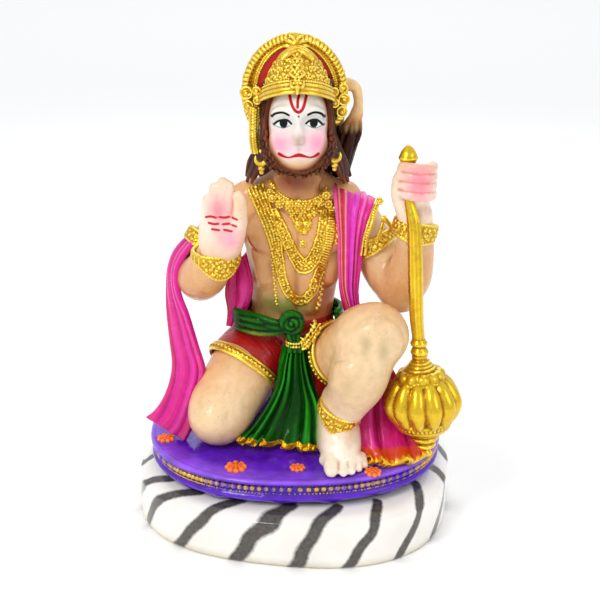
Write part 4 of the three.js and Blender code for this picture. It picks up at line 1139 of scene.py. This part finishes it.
choker = [
    (-9.6, 108.4), (-8.6, 107.2), (-7, 104.8), (-3.9, 102), (0.2, 100.6), (4.9, 100.6), (9.1, 102.2),
    (11.4, 104.8), (12.6, 106.4),
]
for drop, r in ((0, 0.55), (1.1, 0.45), (2.2, 0.6)):
    laid = on_chest(even([(x, z - drop) for x, z in choker], 1), 0.5)
    chain(gold, laid + (0, 0.5, 0), 0.6)
    beads(gold, laid, r)
for x, z, r in (
    (-9.6, 104.2, 1.5), (-8.8, 101.6, 1.7), (-6, 99.3, 1.8), (12.2, 102.9, 1.8), (13.2, 99.4, 1.9),
    (10.4, 99.9, 1.4),
):
    (spot,) = on_chest([(x, z)], 0.4)
    gold.ball(spot, (r, 0.8, r), 0.3)
    rosette(gold, spot - (0, 0.6, 0), (0, -1, 0), r, 8)
rng = np.random.default_rng(5)
for row in range(11):
    z = 100.4 - row * 0.95
    left = np.interp(row, [0, 3, 7, 10], [-5.4, -2.6, -0.8, 0.4])
    right = np.interp(row, [0, 3, 7, 10], [11.2, 9.6, 7.2, 5.8])
    for k, x in enumerate(np.arange(left, right + 0.2, 1.25)):
        (spot,) = on_chest([(x + rng.uniform(-0.2, 0.2), z)], 0.5)
        gold.ball(spot, (0.8, 0.5, 0.7), 0.3)
        if (row + k) % 3 == 0:
            scroll(gold, spot - (0, 0.5, 0), (0, -1, 0), 0.9, rng.uniform(0, 6), 0.36, 4.6)
        else:
            gold.ball(spot - (0, 0.5, 0), 0.45, 0.2)
for side in (-1, 1):
    for x, z, r in ((1.8, 90.6, 1.9), (1.3, 89, 1.6), (0.6, 87.6, 1.1)):
        (spot,) = on_chest([(3.2 + side * x, z)], 0.4)
        gold.ball(spot, (r, 0.9, r), 0.5)
    scroll(gold, spot + (side * 1.2, -0.9, 2.9), (0, -1, 0), 1, 0, 0.32, 5)
(drop,) = on_chest([(3.2, 82.8)], 0.5)
for turn in np.arange(8) * pi / 4:
    gold.ball(drop + (1.1 * cos(turn), 0, 1.2 * sin(turn)), 0.5, 0.2)
gold.ball(drop, (0.8, 0.8, 0.8), 0.2)
garland(gold, [
    (-8.2, 97, 0.9), (-5.8, 90.6, 1.6), (-3, 83.8, 1.8), (0, 77.6, 2), (3.4, 73.4, 2.8), (6.6, 75.6, 2.4),
    (8.8, 80, 2), (10.2, 86, 1.4), (11, 92, 1.2), (11.3, 97.4, 1),
], 5)
garland(gold, [
    (-15.2, 106, 2.9), (-14.2, 102.6, 2.8), (-11.9, 96.7, 2.7), (-9.6, 90.6, 2.6), (-8, 84.4, 2.3),
    (-7, 79, 1.9), (-5.7, 72, 1.5), (-4.4, 66, 1.4), (-2, 61.2, 1.4), (2.6, 58.8, 1.5), (6.6, 62.4, 1.4),
    (8.5, 68, 1.4), (10.6, 74, 1.4), (12.4, 79.5, 1.4), (13.5, 84.5, 1.4), (14.2, 89, 1.4), (14.6, 94, 1.2),
    (14.4, 99, 0.9),
], 5, 0.72)
for line, pitch, lift, r, swing in [
    ([(-9.1, 80.6), (-8.9, 75), (-8.4, 69.3), (-7.8, 62.2), (-7.4, 56)], 1.3, 0.4, 0.7, 0.15),
    ([(11.6, 75.9), (11.2, 70.9), (10.6, 65.8), (10, 60.7), (9, 55.5)], 1.2, 0.5, 0.8, 0.35),
    ([(16, 96), (16.8, 89), (16.2, 83)], 1.3, 0.4, 0.7, 0.3),
]:
    beads(gold, on_chest(even(line, pitch), lift), r, swing)
gold_leafed(gold, "necklaces", 0.62)


# Arm bands, cuffs and anklet: broad bands with rope edges and filigree in relief round the limbs,
# the cuffs and the anklet coming to a point in front, in the same gold.
def square_to(along, front):
    """Two directions square to a limb's own, the first as near to the one asked for as can be."""
    ahead = unit(np.array(front, float) - along * np.dot(front, along))
    return ahead, np.cross(along, ahead)


def band(clay, middle, along, wide, deep, height, dip=0.0, front=(0, -1, 0), curls=2):
    """A band round a limb: the middle of its top edge, the limb's direction upward, its half width
    and depth, its height at the sides, how far it dips in front, and its rows of curls."""
    along = unit(along)
    ahead, across = square_to(along, front)

    def tall(t):
        """The band's height at an angle from its front."""
        return height + dip * max(0, cos(t)) ** 2.4

    def place(t, share, out=0.0):
        """A place at an angle from its front and a share of its height, counted downward."""
        level = np.array(middle) + ahead * (deep + out) * cos(t) + across * (wide + out) * sin(t)
        return level - along * (share * tall(t))

    count = int(2 * pi * wide / 1.1)
    turns = np.arange(count) / count * 2 * pi
    for t in turns:
        clay.limb([(*place(t, s), 0.75) for s in (0.04, 0.5, 0.96)], 0.4, 1)
    for share, r in ((0, 0.6), (0.14, 0.4), (0.86, 0.4), (1, 0.65)):
        ring = np.array([place(t, share, 0.35) for t in np.append(turns, 0)])
        chain(clay, ring, r * 0.8)
        if r > 0.5:
            beads(clay, ring[:-1], r, 0)
    for row in range(curls):
        share = (row + 1) / (curls + 1)
        for k, t in enumerate(np.arange(0, count, 2.1) / count * 2 * pi):
            room = tall(t) / (curls + 1)
            if room > 0.95:
                out = ahead * cos(t) + across * sin(t)
                spot = place(t + 0.1 * (row % 2), share, 0.75)
                scroll(clay, spot, out, min(0.95, room * 0.55), k * 2.3 + row, 0.36, 4.8)
            else:
                clay.ball(place(t, share, 0.6), 0.5, 0.2)


raised = Clay((-48, -32, 66), (-16, 20, 92), 0.32)
band(raised, (-33.6, 4, 81), (5.6, 2.6, 9.4), 10, 10, 4.6, 1.2)
band(raised, (-30.7, -18.7, 83.2), (0.02, -0.06, 1), 8.9, 8.3, 2.8, 6.4, front=(0.34, -1, 0), curls=4)
gold_leafed(raised, "raised_arm_bands", 0.6)

bent = Clay((16, -32, 62), (62, 20, 104), 0.34)
band(bent, (31.2, 4.1, 80), (-6, 3.6, 9.4), 9.8, 9.8, 3.6, 1.6)
for shift in (0, 1.6):
    bent.limb([
        (28.4 + shift, -5.6, 77.6, 0.5), (33 + shift * 0.6, -5.4, 84.6, 0.55),
        (35.6, -3.4, 92.4 - shift, 0.55),
    ], 0.2, 3)
    bent.limb([
        (41.2 - shift, 0.4, 83.4, 0.5), (39 - shift * 0.6, -1.6, 88, 0.55), (35.8, -3.4, 92.6 - shift, 0.55),
    ], 0.2, 3)
rosette(bent, (35.4, -4.6, 92), (0, -1, 0.2), 1.2, 6)
band(bent, (47.2, -17.2, 94.4), (0.24, 0.16, 1), 8, 7.8, 5.6, 2.2, curls=3)
gold_leafed(bent, "bent_arm_bands", 0.6)

ankle = Clay((4, -48, 4), (36, -14, 34), 0.34)
band(ankle, (18.3, -31, 21.4), (0.4, -0.19, 1), 8.4, 8.2, 2.6, 4.6, front=(0.1, -1, 0), curls=2)
gold_leafed(ankle, "anklet", 0.7)


# Drawers: short red drawers round the hips and over the upper thighs, modelled in fine wrinkles,
# with a gold hem of piping and beads. They are part of the casting.
drawers = Clay((-38, -28, 6), (32, 26, 54), 0.45)
drawers.column([
    (9, -4, 14, 12, 9), (17, -3, 12, 17.4, 13), (26, -2, 9, 20, 14.6), (38, -2, 7.4, 19.2, 14.2),
    (46, -2, 6.6, 18, 13), (49, -1.8, 6.6, 17.4, 12),
], 2)
thigh, knee = np.array((-8.0, 8, 34)), np.array((-18.8, -1.6, 28.2))
way = unit(knee - thigh)
drawers.limb([(*thigh, 15), (*(thigh + way * 5), 15.6), (*(knee - way * 1.4 + (-0.4, 0, -0.8)), 16)], 3)
drawers.limb([(-14, 7, 34, 14), (-20.6, 4, 26.6, 15.2)], 3)
drawers.limb([(5, 7, 28, 14), (10.6, 1, 29.4, 13.8), (15.4, -6.4, 33, 13.7)], 3)
drawers.limb([(2, -8, 36, 6), (6, -11, 28, 5), (9, -14, 20, 4), (11, -16, 14.6, 2.4)], 3)
for k in range(12):
    place = thigh + way * (1 + k * 1.35)
    ahead, across = square_to(way, (-0.5, -1, 0.9))
    crease = [
        place + 15.8 * (cos(t) * ahead + sin(t) * across) + way * rng.uniform(-0.4, 0.4)
        for t in np.linspace(-1.5, 1.5, 7)
    ]
    drawers.score(crease, 0.5, 0.42)
drawers_mesh, at, _, (fine, _) = drawers.skin("drawers")
# Painted shade, dark red, in the wrinkles and painted highlights, bright red, on their crests.
cloth = layered(len(at), "#9c0e10", [
    ("#5c060a", np.clip(fine / 0.1, 0, 0.95)),
    ("#d83424", np.clip(-fine / 0.12, 0, 0.7)),
    ("#c8481c", 0.8 * bloom(at, (15, -10, 54), (7, 8, 4))),
    ("#b8743c", 0.9 * bloom(at, (5, -12, 53), (7, 9, 3.4))),
])
painted(drawers_mesh, cloth, red_enamel, keep=0.3)

hems = Clay((-44, -36, 4), (38, 24, 62), 0.36)
left_way = unit((0.46, -0.76, 0.5))


def hoop(middle, along, r):
    """A ring round a thigh."""
    ahead, across = square_to(along, (0, -1, 0.6))
    turns = np.linspace(0, 2 * pi, 97)
    return np.array([middle + r * (cos(t) * ahead + sin(t) * across) for t in turns])


for middle, along, r in [
    (knee + way * 3.4, np.array((-0.53, -0.55, -0.645)), 16.1),
    (np.array((18.6, -11.8, 36.4)), left_way, 13.5),
]:
    chain(hems, hoop(middle + along * 1.5, along, r + 0.1), 0.75)
    chain(hems, hoop(middle - along * 1.6, along, r + 0.2), 0.55)
    chain(hems, hoop(middle, along, r - 0.2), 1.2, 0.6)
    beads(hems, hoop(middle, along, r + 0.8)[:-1], 0.55, 0.35)
for lag, r in ((0, 0.75), (1.7, 0.55), (3.2, 0.7)):
    strand = [(2.6, -18.4, 44.4), (4.8, -17.8, 46.6), (7, -16.6, 49.6), (8.8, -15.2, 53)]
    strand = [(x + lag * along, y, z - lag) for (x, y, z), along in zip(strand, (0.3, 0.4, 0.4, 0.5))]
    for spot in even(strand, 1.15):
        hems.ball(spot + rng.normal(0, 0.25, 3), (r * 1.1, 0.8, r), 0.25)
        hems.limb([
            (*spot, 0.4), (*(spot + (rng.uniform(-1.3, 1.3), -0.5, rng.uniform(0.6, 1.5))), 0.3),
        ], 0.2, 1)
gold_leafed(hems, "hems", 0.6)


# Green sash: a bunched belt, a rosette knot in the middle and a pleated fall down between the legs
# that ends in a gold ruffle. It is cast with the figure and painted a deep glossy green.
def cloth_piece(
    name, stations, between, across, folds, depth, seed, thick, colours, material, flare=0.0, hem=None,
    seams=(), lap=0.0, bow=0.0,
):
    """A cast fold of cloth between a left and a right edge, bowed forward below by so many
    millimetres. Rounded folds run down it, with painted shade in their valleys and painted highlights
    on their crests. Extra are a hem (its colour, where its wave starts, how high that is, where its
    colour and its gold start) and seams down it."""
    rows = flowing(stations, between)
    u, v = np.meshgrid(np.linspace(0, 1, across + 1), np.linspace(0, 1, len(rows)))
    flat = rows[:, None, :3] + (rows[:, None, 3:6] - rows[:, None, :3]) * u[..., None]
    out = np.cross(np.gradient(flat, axis=0), np.gradient(flat, axis=1))
    out /= np.linalg.norm(out, axis=2)[..., None]
    rng = np.random.default_rng(seed)
    warp = u + 0.05 * np.sin(2 * np.pi * (1.1 * u + rng.uniform()) + v * lap)
    warp += 0.02 * np.sin(5 * v + 4 * u + rng.uniform(0, 6))
    rise = np.zeros_like(u)
    for count, share in ((folds, 0.8), (folds * 1.7, 0.14), (folds * 3.9, 0.06)):
        lag = rng.uniform(0, 6) + rng.uniform(-0.8, 0.8) * v * 2
        rise += share * (2 * np.abs(np.sin(np.pi * count * warp + lag)) ** 0.7 - 1)
    rise *= 0.7 + 0.3 * np.sin(2 * np.pi * (1.3 * warp + rng.uniform()) + v * 2)
    swell = (1 + flare * v**2) * np.clip(4 * u * (1 - u) * 1.6, 0.25, 1)
    places = flat + out * (depth * rise * swell)[..., None]
    places[..., 1] -= bow * 4 * u * (1 - u) * v**2
    if hem:
        hem_colour, wave_from, wave, dyed_from, gilt_from = hem
        edge = wave * np.clip((v - wave_from) / (1 - wave_from), 0, 1)
        along = np.pi * 2 * folds * 1.2 * warp
        places[..., 2] += edge * (0.5 + 0.5 * np.sin(along + 1))
        places += out * (edge * np.sin(along))[..., None]
    sheet = bmesh.new()
    bmesh.ops.create_grid(sheet, x_segments=across, y_segments=len(rows) - 1, size=1)
    for vert in sheet.verts:
        i, j = round((vert.co.y + 1) / 2 * (len(rows) - 1)), round((vert.co.x + 1) / 2 * across)
        vert.co = (i, j, 0)
    mesh = bpy.data.meshes.new(name)
    sheet.to_mesh(mesh)
    sheet.free()
    cell = np.array([p.co for p in mesh.vertices]).round().astype(int)
    mesh.vertices.foreach_set("co", ((places[cell[:, 0], cell[:, 1]] + (0, 0, SEAT_TOP)) / 1000).ravel())
    base, deep, light = colours
    # The deep colour is painted shade in the fold valleys and in broad bands across the cloth; the light one
    # is a painted highlight on the crests.
    paint = np.tile(linear(base), (*u.shape, 1))
    paint = coated(paint, deep, np.clip(0.1 - rise, 0, 1) * 1.2)
    paint = coated(paint, light, np.clip(rise - 0.35, 0, 1) * 1.3)
    paint = coated(paint, deep, 0.4 * np.clip(np.sin(5 * v + 3 * u + seed), 0, 1))
    for middle, width, code in seams:
        paint = coated(paint, code, np.clip(1.3 - np.abs(u - middle) / width, 0, 1) * 0.9)
    gilt = np.zeros_like(u)
    if hem:
        paint = coated(paint, hem_colour, np.clip((v - dyed_from + 0.015 * np.sin(u * 50)) / 0.02, 0, 1))
        paint = coated(paint, "#e8b626", np.clip((v - gilt_from + 0.01 * np.sin(u * 70)) / 0.02, 0, 1))
        gilt = np.clip((v - gilt_from) / 0.02, 0, 0.8)
    row, column = cell[:, 0], cell[:, 1]
    piece = painted(mesh, paint[row, column], material, gilt[row, column])
    wall = piece.modifiers.new("thickness", "SOLIDIFY")
    wall.thickness = thick / 1000
    wall.offset = 1
    finer = piece.modifiers.new("rounding", "SUBSURF")
    finer.levels = finer.render_levels = 1


# Deep green enamel: glossy on the folds, uneven in depth.
green_enamel = enamel("glossy deep green enamel on resin", 0.2, 0.05, 0.3, 3, 0.16, shine=0.1)
# base colour, painted shade and painted highlight
greens = ("#054203", "#021a02", "#2cae22")
cloth_piece("sash_fall", [
    (-3, -15.4, 41.6, 3.5, -15.4, 41.6), (-5, -18, 34.6, 4.4, -18.6, 35), (-7, -20, 26.8, 6.4, -21.4, 27),
    (-10.4, -21.6, 19.8, 8.8, -25, 20.8), (-15, -23.6, 12.8, 9.4, -28, 14.4), (-20.4, -25.6, 6, 9, -31, 6.4),
    (-22.8, -26.6, 2.8, 8.8, -32, 1.4),
], 9, 64, 5, 1.4, 4, 3.6, greens, green_enamel, flare=0.9, hem=("#e8b626", 0.74, 2.5, 0.885, 0.885))
knot = Clay((-30, -24, 36), (24, 24, 60), 0.38)
for k in range(6):
    share = k / 5
    knot.limb([
        (-3.6, -15.2, 50.4 - share * 2.4, 1.4), (-9, -13.6 + 0.6 * sin(k * 2), 51.4 - share * 4.6, 1.5),
        (-16, -10.6 + 0.5 * cos(k * 3), 52.4 - share * 6.6, 1.5), (-22.6, -4.4, 52 - share * 6.8, 1.5),
        (-26, 1.6, 51.4 - share * 7, 1.3),
    ], 0.35, 5)
turns = np.linspace(-0.4, pi + 0.4, 31)
for k in range(4):
    knot.limb([(-1.9 + 21 * cos(t), 6.4 + 15.4 * sin(t), 50.6 - k * 1.9, 1.3) for t in turns], 0.4, 1)
knot.ball((-1.3, -14, 51.4), (5.3, 3.6, 5.4), 0.6)
for start, sweep, r, off, w in (
    (0.7, 3.4, 4.1, 0, 1.5), (3.9, 3.1, 4, 0.1, 1.4), (2.1, 3.5, 2.3, 0.7, 1.25), (5.4, 2.7, 2.1, 0.9, 1.1),
    (0.9, 2.6, 0.7, 1.3, 1),
):
    turns = np.linspace(start, start + sweep, 9)
    knot.limb([
        (-1.3 + (r - 0.08 * k) * cos(t), -16.2 - off, 51.7 + (r - 0.08 * k) * sin(t), w * sin(0.35 + k * 0.3))
        for k, t in enumerate(turns)
    ], 0.3, 2)
knot.ball((-0.6, -15, 45.4), (3.4, 2.8, 2.6), 1)
for s in (-1, 0, 1):
    knot.limb([
        (-0.6 + s * 1.7, -16.4, 46.6, 1.1), (-0.2 + s * 1.3, -17.4, 44, 0.9), (s * 2, -17.6, 40.4, 1.2),
    ], 0.3)
knot_mesh, at, _, (fine, _) = knot.skin("sash_belt")
# Painted shade, near black, in the hollows and painted highlights, bright green, on the crests of the folds.
paint = layered(len(at), "#043203", [
    (greens[1], np.clip((fine + 0.02) / 0.1, 0, 0.97)),
    ("#249a1a", np.clip(-fine / 0.14, 0, 0.5)),
    ("#dcc85a", 0.6 * np.clip(-fine / 0.1, 0, 1) * bloom(at, (-15, -12, 45.6), (7, 9, 1.4))),
])
painted(knot_mesh, paint, green_enamel, keep=0.55)
collar = Clay((-8, -23, 38), (8, -8, 48), 0.28)
for z, r in ((43.6, 0.62), (42.2, 0.6)):
    beads(collar, np.array([
        (3.4 * cos(t), -15.4 - 3 * sin(t), z)
        for t in np.linspace(-0.3, pi + 0.3, 12)
    ]), r)
gold_leafed(collar, "sash_collar")


# Shawl: a long pink shawl over the left shoulder, across the back, round the right forearm and
# down both sides to the seat. Its folds are cast in relief and painted magenta, with orange and
# gold seams.

# Magenta enamel with a pearl sheen, varnished: satin to glossy.
pink_enamel = enamel("varnished magenta pearl enamel on resin", 0.26, 0.15, 0.25, 3, 0.1, shine=0.2)
# base colour, painted shade and painted highlight
pinks = ("#c81472", "#84062c", "#ec40a8")
orange_line = "#c04a1c"
shoulder_seams = [
    (0.04, 0.03, "#b8281c"), (0.1, 0.02, "#e8b626"), (0.17, 0.06, "#b82c1c"), (0.26, 0.02, "#e8b626"),
    (0.33, 0.05, "#c424a0"), (0.5, 0.1, "#dc40c4"),
]
cloth_piece("shawl_shoulder", [
    (13, 18, 94, 30, 17, 88), (14, 14, 101.6, 32, 11, 95.6), (15.4, 6, 105.2, 33, 3.6, 97.4),
    (16, -3, 103, 32, -3.6, 95.2), (16.6, -7.6, 96, 29.6, -6.6, 90), (17.4, -9.4, 86, 27.8, -7.4, 83),
    (17.8, -10, 74, 26.8, -8, 74), (18.6, -10, 64, 25.8, -8.6, 63), (21, -9.6, 56, 25.8, -8.4, 56),
    (24, -9, 48, 26.4, -8, 48),
], 7, 48, 4.2, 0.9, 2, 2.8, ("#ea34a8", "#a4144c", "#fa80d0"), pink_enamel, seams=shoulder_seams)
shoulder_edge = Clay((20, -16, 58), (40, 12, 104), 0.3)
for lag, r in ((0, 0.6), (-1.5, 0.45)):
    chain(shoulder_edge, even([
        (34.4 + lag, 3, 98.4), (33 + lag, -3.4, 97), (30.6 + lag, -8, 91.4), (28.8 + lag, -9.2, 85),
        (27.8 + lag, -9.8, 78),
    ], 1), r)
for spot in even([(33, -3.4, 97.4), (31.4, -6.6, 93.4), (29.4, -9, 87), (28.4, -9.8, 81)], 1.1):
    shoulder_edge.ball(spot + (-0.8, -0.3, 0), 0.45, 0.2)
rosette(shoulder_edge, (33.8, -2.8, 98.6), (0.2, -1, 0.3), 1.6, 6)
gold_leafed(shoulder_edge, "shawl_edging")
cloth_piece("shawl_back", [
    (31, 12, 94, 12, 16, 101), (29, 18, 85, 6, 22, 95), (17, 23, 71, -6, 23, 84), (0, 22, 57, -22, 18, 70),
    (-18, 16.4, 45, -29, 9, 58),
], 7, 32, 3, 1.1, 12, 3.6, pinks, pink_enamel)
cloth_piece("shawl_under_arm", [
    (-25, 1, 74, -21, 0, 75), (-27.6, -1, 67, -18.6, -3.6, 68.6), (-29, -1, 59, -18, -4.4, 61),
    (-28.2, 0, 51, -20.8, -4, 52.6), (-28.8, 0, 44, -24, -3, 45),
], 8, 26, 2.4, 1.1, 5, 2, pinks, pink_enamel, seams=((0.1, 0.03, orange_line),))
fall_seams = [(0.08, 0.025, orange_line), (0.42, 0.015, orange_line), (0.93, 0.02, orange_line)]
cloth_piece("shawl_long_fall", [
    (-30, 14, 72, -25, 3.6, 85), (-36.6, 13, 79, -31.4, 1.6, 87.6), (-43.4, 10, 81, -38.4, -3.4, 85),
    (-49.6, 7, 76, -45.6, -7, 77.6), (-52.6, 4, 69, -48.6, -8.4, 70), (-53.4, 2, 60, -47.6, -9.4, 61),
    (-53.4, 0, 50, -44, -10.2, 51.6), (-52.4, -2, 38, -40.4, -10.8, 39), (-51.6, -4, 29.6, -37.6, -13, 29.6),
    (-52.6, -5, 22.4, -39, -15, 21.6), (-55.6, -6, 14.4, -41.4, -16, 13), (-59.6, -7, 8.8, -43.6, -18, 5.4),
    (-63.4, -7.6, 6, -46, -19.6, 0.8),
], 6, 38, 3.2, 0.9, 13, 2.6, ("#d2188c", "#8c0c44", "#f44cc0"), pink_enamel, seams=fall_seams, lap=2.5)
cloth_piece("shawl_knee_fall", [
    (31, -20, 34, 38, -15, 35), (27, -25.6, 24, 43.6, -19, 25), (25, -30, 14.6, 47.6, -24, 14.6),
    (25.6, -35, 6.4, 50, -31.8, 6.4), (28, -38.8, 1.6, 51.4, -36.6, 1.2),
], 8, 56, 2.6, 1.3, 17, 3.6, pinks, pink_enamel, flare=0.8, bow=4.5, hem=("#c83c14", 0.7, 1.9, 0.76, 0.93))


# Mace: a lobed head standing on a small turned foot, scalloped and collared above, with a slightly
# bowed, fluted shaft that runs through the fist to an onion-shaped knob. It is cast with the figure.
mace = Clay((30, -50, -2), (72, -10, 128), 0.42)
foot, top = np.array((52.6, -31.6, 0.0)), np.array((49, -28.6, 44.0))
axis = unit(top - foot)
side_x, side_y = square_to(axis, (1, 0, 0))


def round_mace(z, r, turn):
    """A place on a ring round the mace's axis, so far up from its foot."""
    return foot + axis * z + r * (cos(turn) * side_x + sin(turn) * side_y)


def mace_ring(z, r, thick, blend=0.35):
    """A raised ring round the mace."""
    mace.limb([(*round_mace(z, r, t), thick) for t in np.linspace(0, 2 * pi, 41)], blend, 1)


def shaft_ring(x, y, z, r, thick, blend):
    """A raised ring that lies level round the shaft or the knob."""
    mace.limb([(x + r * cos(t), y + r * sin(t), z, thick) for t in np.linspace(0, 2 * pi, 25)], blend, 1)


def turned(profile, blend):
    """A round form on the mace's axis, from heights and radii."""
    mace.column([(z, *(foot + axis * z)[:2], r, r) for z, r in profile], blend)


turned([(15.4, 9), (19, 11.4), (24, 12.1), (29, 11), (32, 9), (34.4, 7.4)], 2)
lobes = 12
for k in range(lobes):
    turn = (k + 0.5) / lobes * 2 * pi
    mace.limb([(*round_mace(z, r, turn), w) for z, r, w in [
        (15.8, 9.8, 1.2), (17.6, 10.6, 2.3), (20.4, 11.6, 3.1), (23.8, 12.1, 3.7), (27.8, 11, 3.4),
        (31, 9.7, 2.7), (33.4, 8.2, 1.7), (35.6, 7, 1),
    ]], 0.35)
for k in range(lobes):
    turn = k / lobes * 2 * pi
    mace.ball(round_mace(34.9, 7.2, turn), 2.7, 0.3)
    scale = [
        (*round_mace(37 - 3.7 * sin(s), 7.5 + 2.15 * sin(s), turn + 0.25 * cos(s)), 0.6)
        for s in np.linspace(0, pi, 9)
    ]
    mace.limb(scale, 0.2, 2)
turned([(34, 8.8), (36.2, 7.6), (38.4, 5.4), (40, 4.1), (41.8, 2.9), (44.4, 2.4)], 0.6)
for z, r, w in [(36.8, 7, 0.6), (38.2, 5.6, 0.5), (39.4, 4.6, 0.45), (40.6, 3.8, 0.45), (43, 2.6, 0.7)]:
    mace_ring(z, r, w, 0.25)
for z, r, w in [(16.2, 10.6, 0.9), (13.6, 9.8, 0.8), (11.2, 6.2, 0.9), (8.6, 4.8, 1), (5.4, 3.6, 0.9)]:
    mace_ring(z, r, w)
for t in np.arange(40) / 40 * 2 * pi:
    mace.ball(round_mace(14.9, 10.8, t), 0.7, 0.2)
turned([
    (0.3, 1.4), (1.6, 2.8), (2.9, 2.4), (3.9, 1.9), (5.2, 3.6), (6.6, 3.3), (8.6, 4.8), (9.8, 4.4),
    (11.2, 6.2), (12.8, 9.2), (14.6, 10.5), (17, 10.2),
], 0.5)
shaft = [
    (49, -28.6, 44, 2.5), (48.4, -28.8, 50, 2.5), (47.2, -29.2, 60, 2.8), (46.4, -29.5, 74, 3),
    (45.8, -29.2, 86, 2.9), (45, -28.8, 97, 2.7), (43, -27, 106, 1.9), (42.5, -25.6, 118, 2.3),
]
mace.limb(shaft, 0.6)
for turn in (3.5, 4.2, 4.75, 5.3, 6):
    mace.score([
        (x + (r + 0.1) * cos(turn), y + (r + 0.1) * sin(turn), z)
        for x, y, z, r in shaft[1:7]
    ], 0.55, 0.5)
for z, r, w in [(44.6, 2.6, 1.1), (45.8, 2.5, 0.6), (48.2, 2.5, 1), (49.4, 2.4, 0.5)]:
    shaft_ring(49 - (z - 44) * 0.1, -28.7, z, r, w, 0.3)
mace.limb([
    (42.5, -25.6, 117, 2), (42.5, -25.5, 118.6, 2.1), (42.4, -25.3, 121.2, 3.3), (42.4, -25.2, 123, 2.7),
    (42.3, -25.2, 125.6, 0.9),
], 0.5)
for z, r in ((117.6, 2.6), (121.4, 3.3)):
    shaft_ring(42.4, -25.4, z, r, 0.5, 0.4)
mace_mesh, at, _, (fine, broad) = mace.skin("mace")
# Painted highlights, pale yellow, on the ridges and painted shade, brown, in broad and fine hollows.
gilding = layered(len(at), "#d6ac10", [
    ("#ffe350", np.clip(-fine / 0.12, 0, 0.85)),
    ("#a8640c", np.clip(broad / 0.5, 0, 0.8)),
    ("#8a4a08", np.clip((fine - 0.01) / 0.08, 0, 0.9)),
])
# The same gold bronze powder paint on smoother forms, where it lies evener and shines more.
smooth_gold = enamel("smooth gold bronze powder paint on resin", 0.28, 0.2, 0.12, 2.4, 0.1)
painted(mace_mesh, gilding, smooth_gold, 0.9 - np.clip(fine / 0.15, 0, 0.5), keep=0.52)


# Seat trimmings: a row of small beads in the sunk band, rubbed with gold here and there, and small
# orange rosettes raised on the seat's top.
band_beads = Clay((-64, -56, -7.5), (64, 56, -1.5), 0.4)
sunk = 3.4
for count, z, r in ((150, -4, 1.15), (300, -6, 0.5)):
    for t in np.arange(count) / count * 2 * pi:
        (x,), (y,) = on_oval(np.array([t]), SEAT["width"] - sunk, SEAT["depth"] - sunk, SEAT["squareness"])
        band_beads.ball((x, y, z), r, 0.2)
band_mesh, at, _, _ = band_beads.skin("seat_beads", 0)
rub = np.clip(
    0.6 + 0.6 * np.sin(at[:, 0] * 0.19) * np.sin(at[:, 0] * 0.07 + 1.3) + 0.35 * np.sin(at[:, 0] * 2.2), 0, 1,
)
rubbed = layered(len(at), "#4a1ab0", [("#dcae34", rub)])
painted(band_mesh, rubbed, smooth_gold, 0.7 * rub, keep=0.5)
flowers = Clay((-60, -52, -1), (60, 52, 4), 0.32)
for x, y, wide in (
    (-53.8, -15.9, 1.2), (-23.4, -41.2, 1.4), (1, -41.6, 1), (30.6, -45, 1.1), (50, 14, 1), (-40, 30, 1.2),
    (4, 46, 1),
):
    for ring_r, r, petals, z in ((2.3 * wide, 0.9 * wide, 8, 0.2), (1.2 * wide, 0.7, 6, 0.7)):
        for t in np.arange(petals) / petals * 2 * pi + ring_r:
            flowers.limb([(x, y, z, 0.5), (x + ring_r * cos(t), y + ring_r * sin(t), z, r)], 0.25, 1)
    flowers.ball((x, y, 1.1), 0.6, 0.2)
flower_mesh, at, _, (fine, _) = flowers.skin("seat_flowers", 0)
# Painted shade, dark orange, in the hollows and painted highlights, light orange, on the petals' crests.
orange = layered(len(at), "#f4641c", [
    ("#b83a08", np.clip(fine / 0.08, 0, 0.9)),
    ("#ff9040", np.clip(-fine / 0.1, 0, 0.7)),
])
# Orange enamel: satin, dabbed on with a small brush.
orange_enamel = enamel("orange enamel on resin", 0.35, 0.2, 0.15, 1.5, 0.1)
painted(flower_mesh, orange, orange_enamel, keep=0.55)
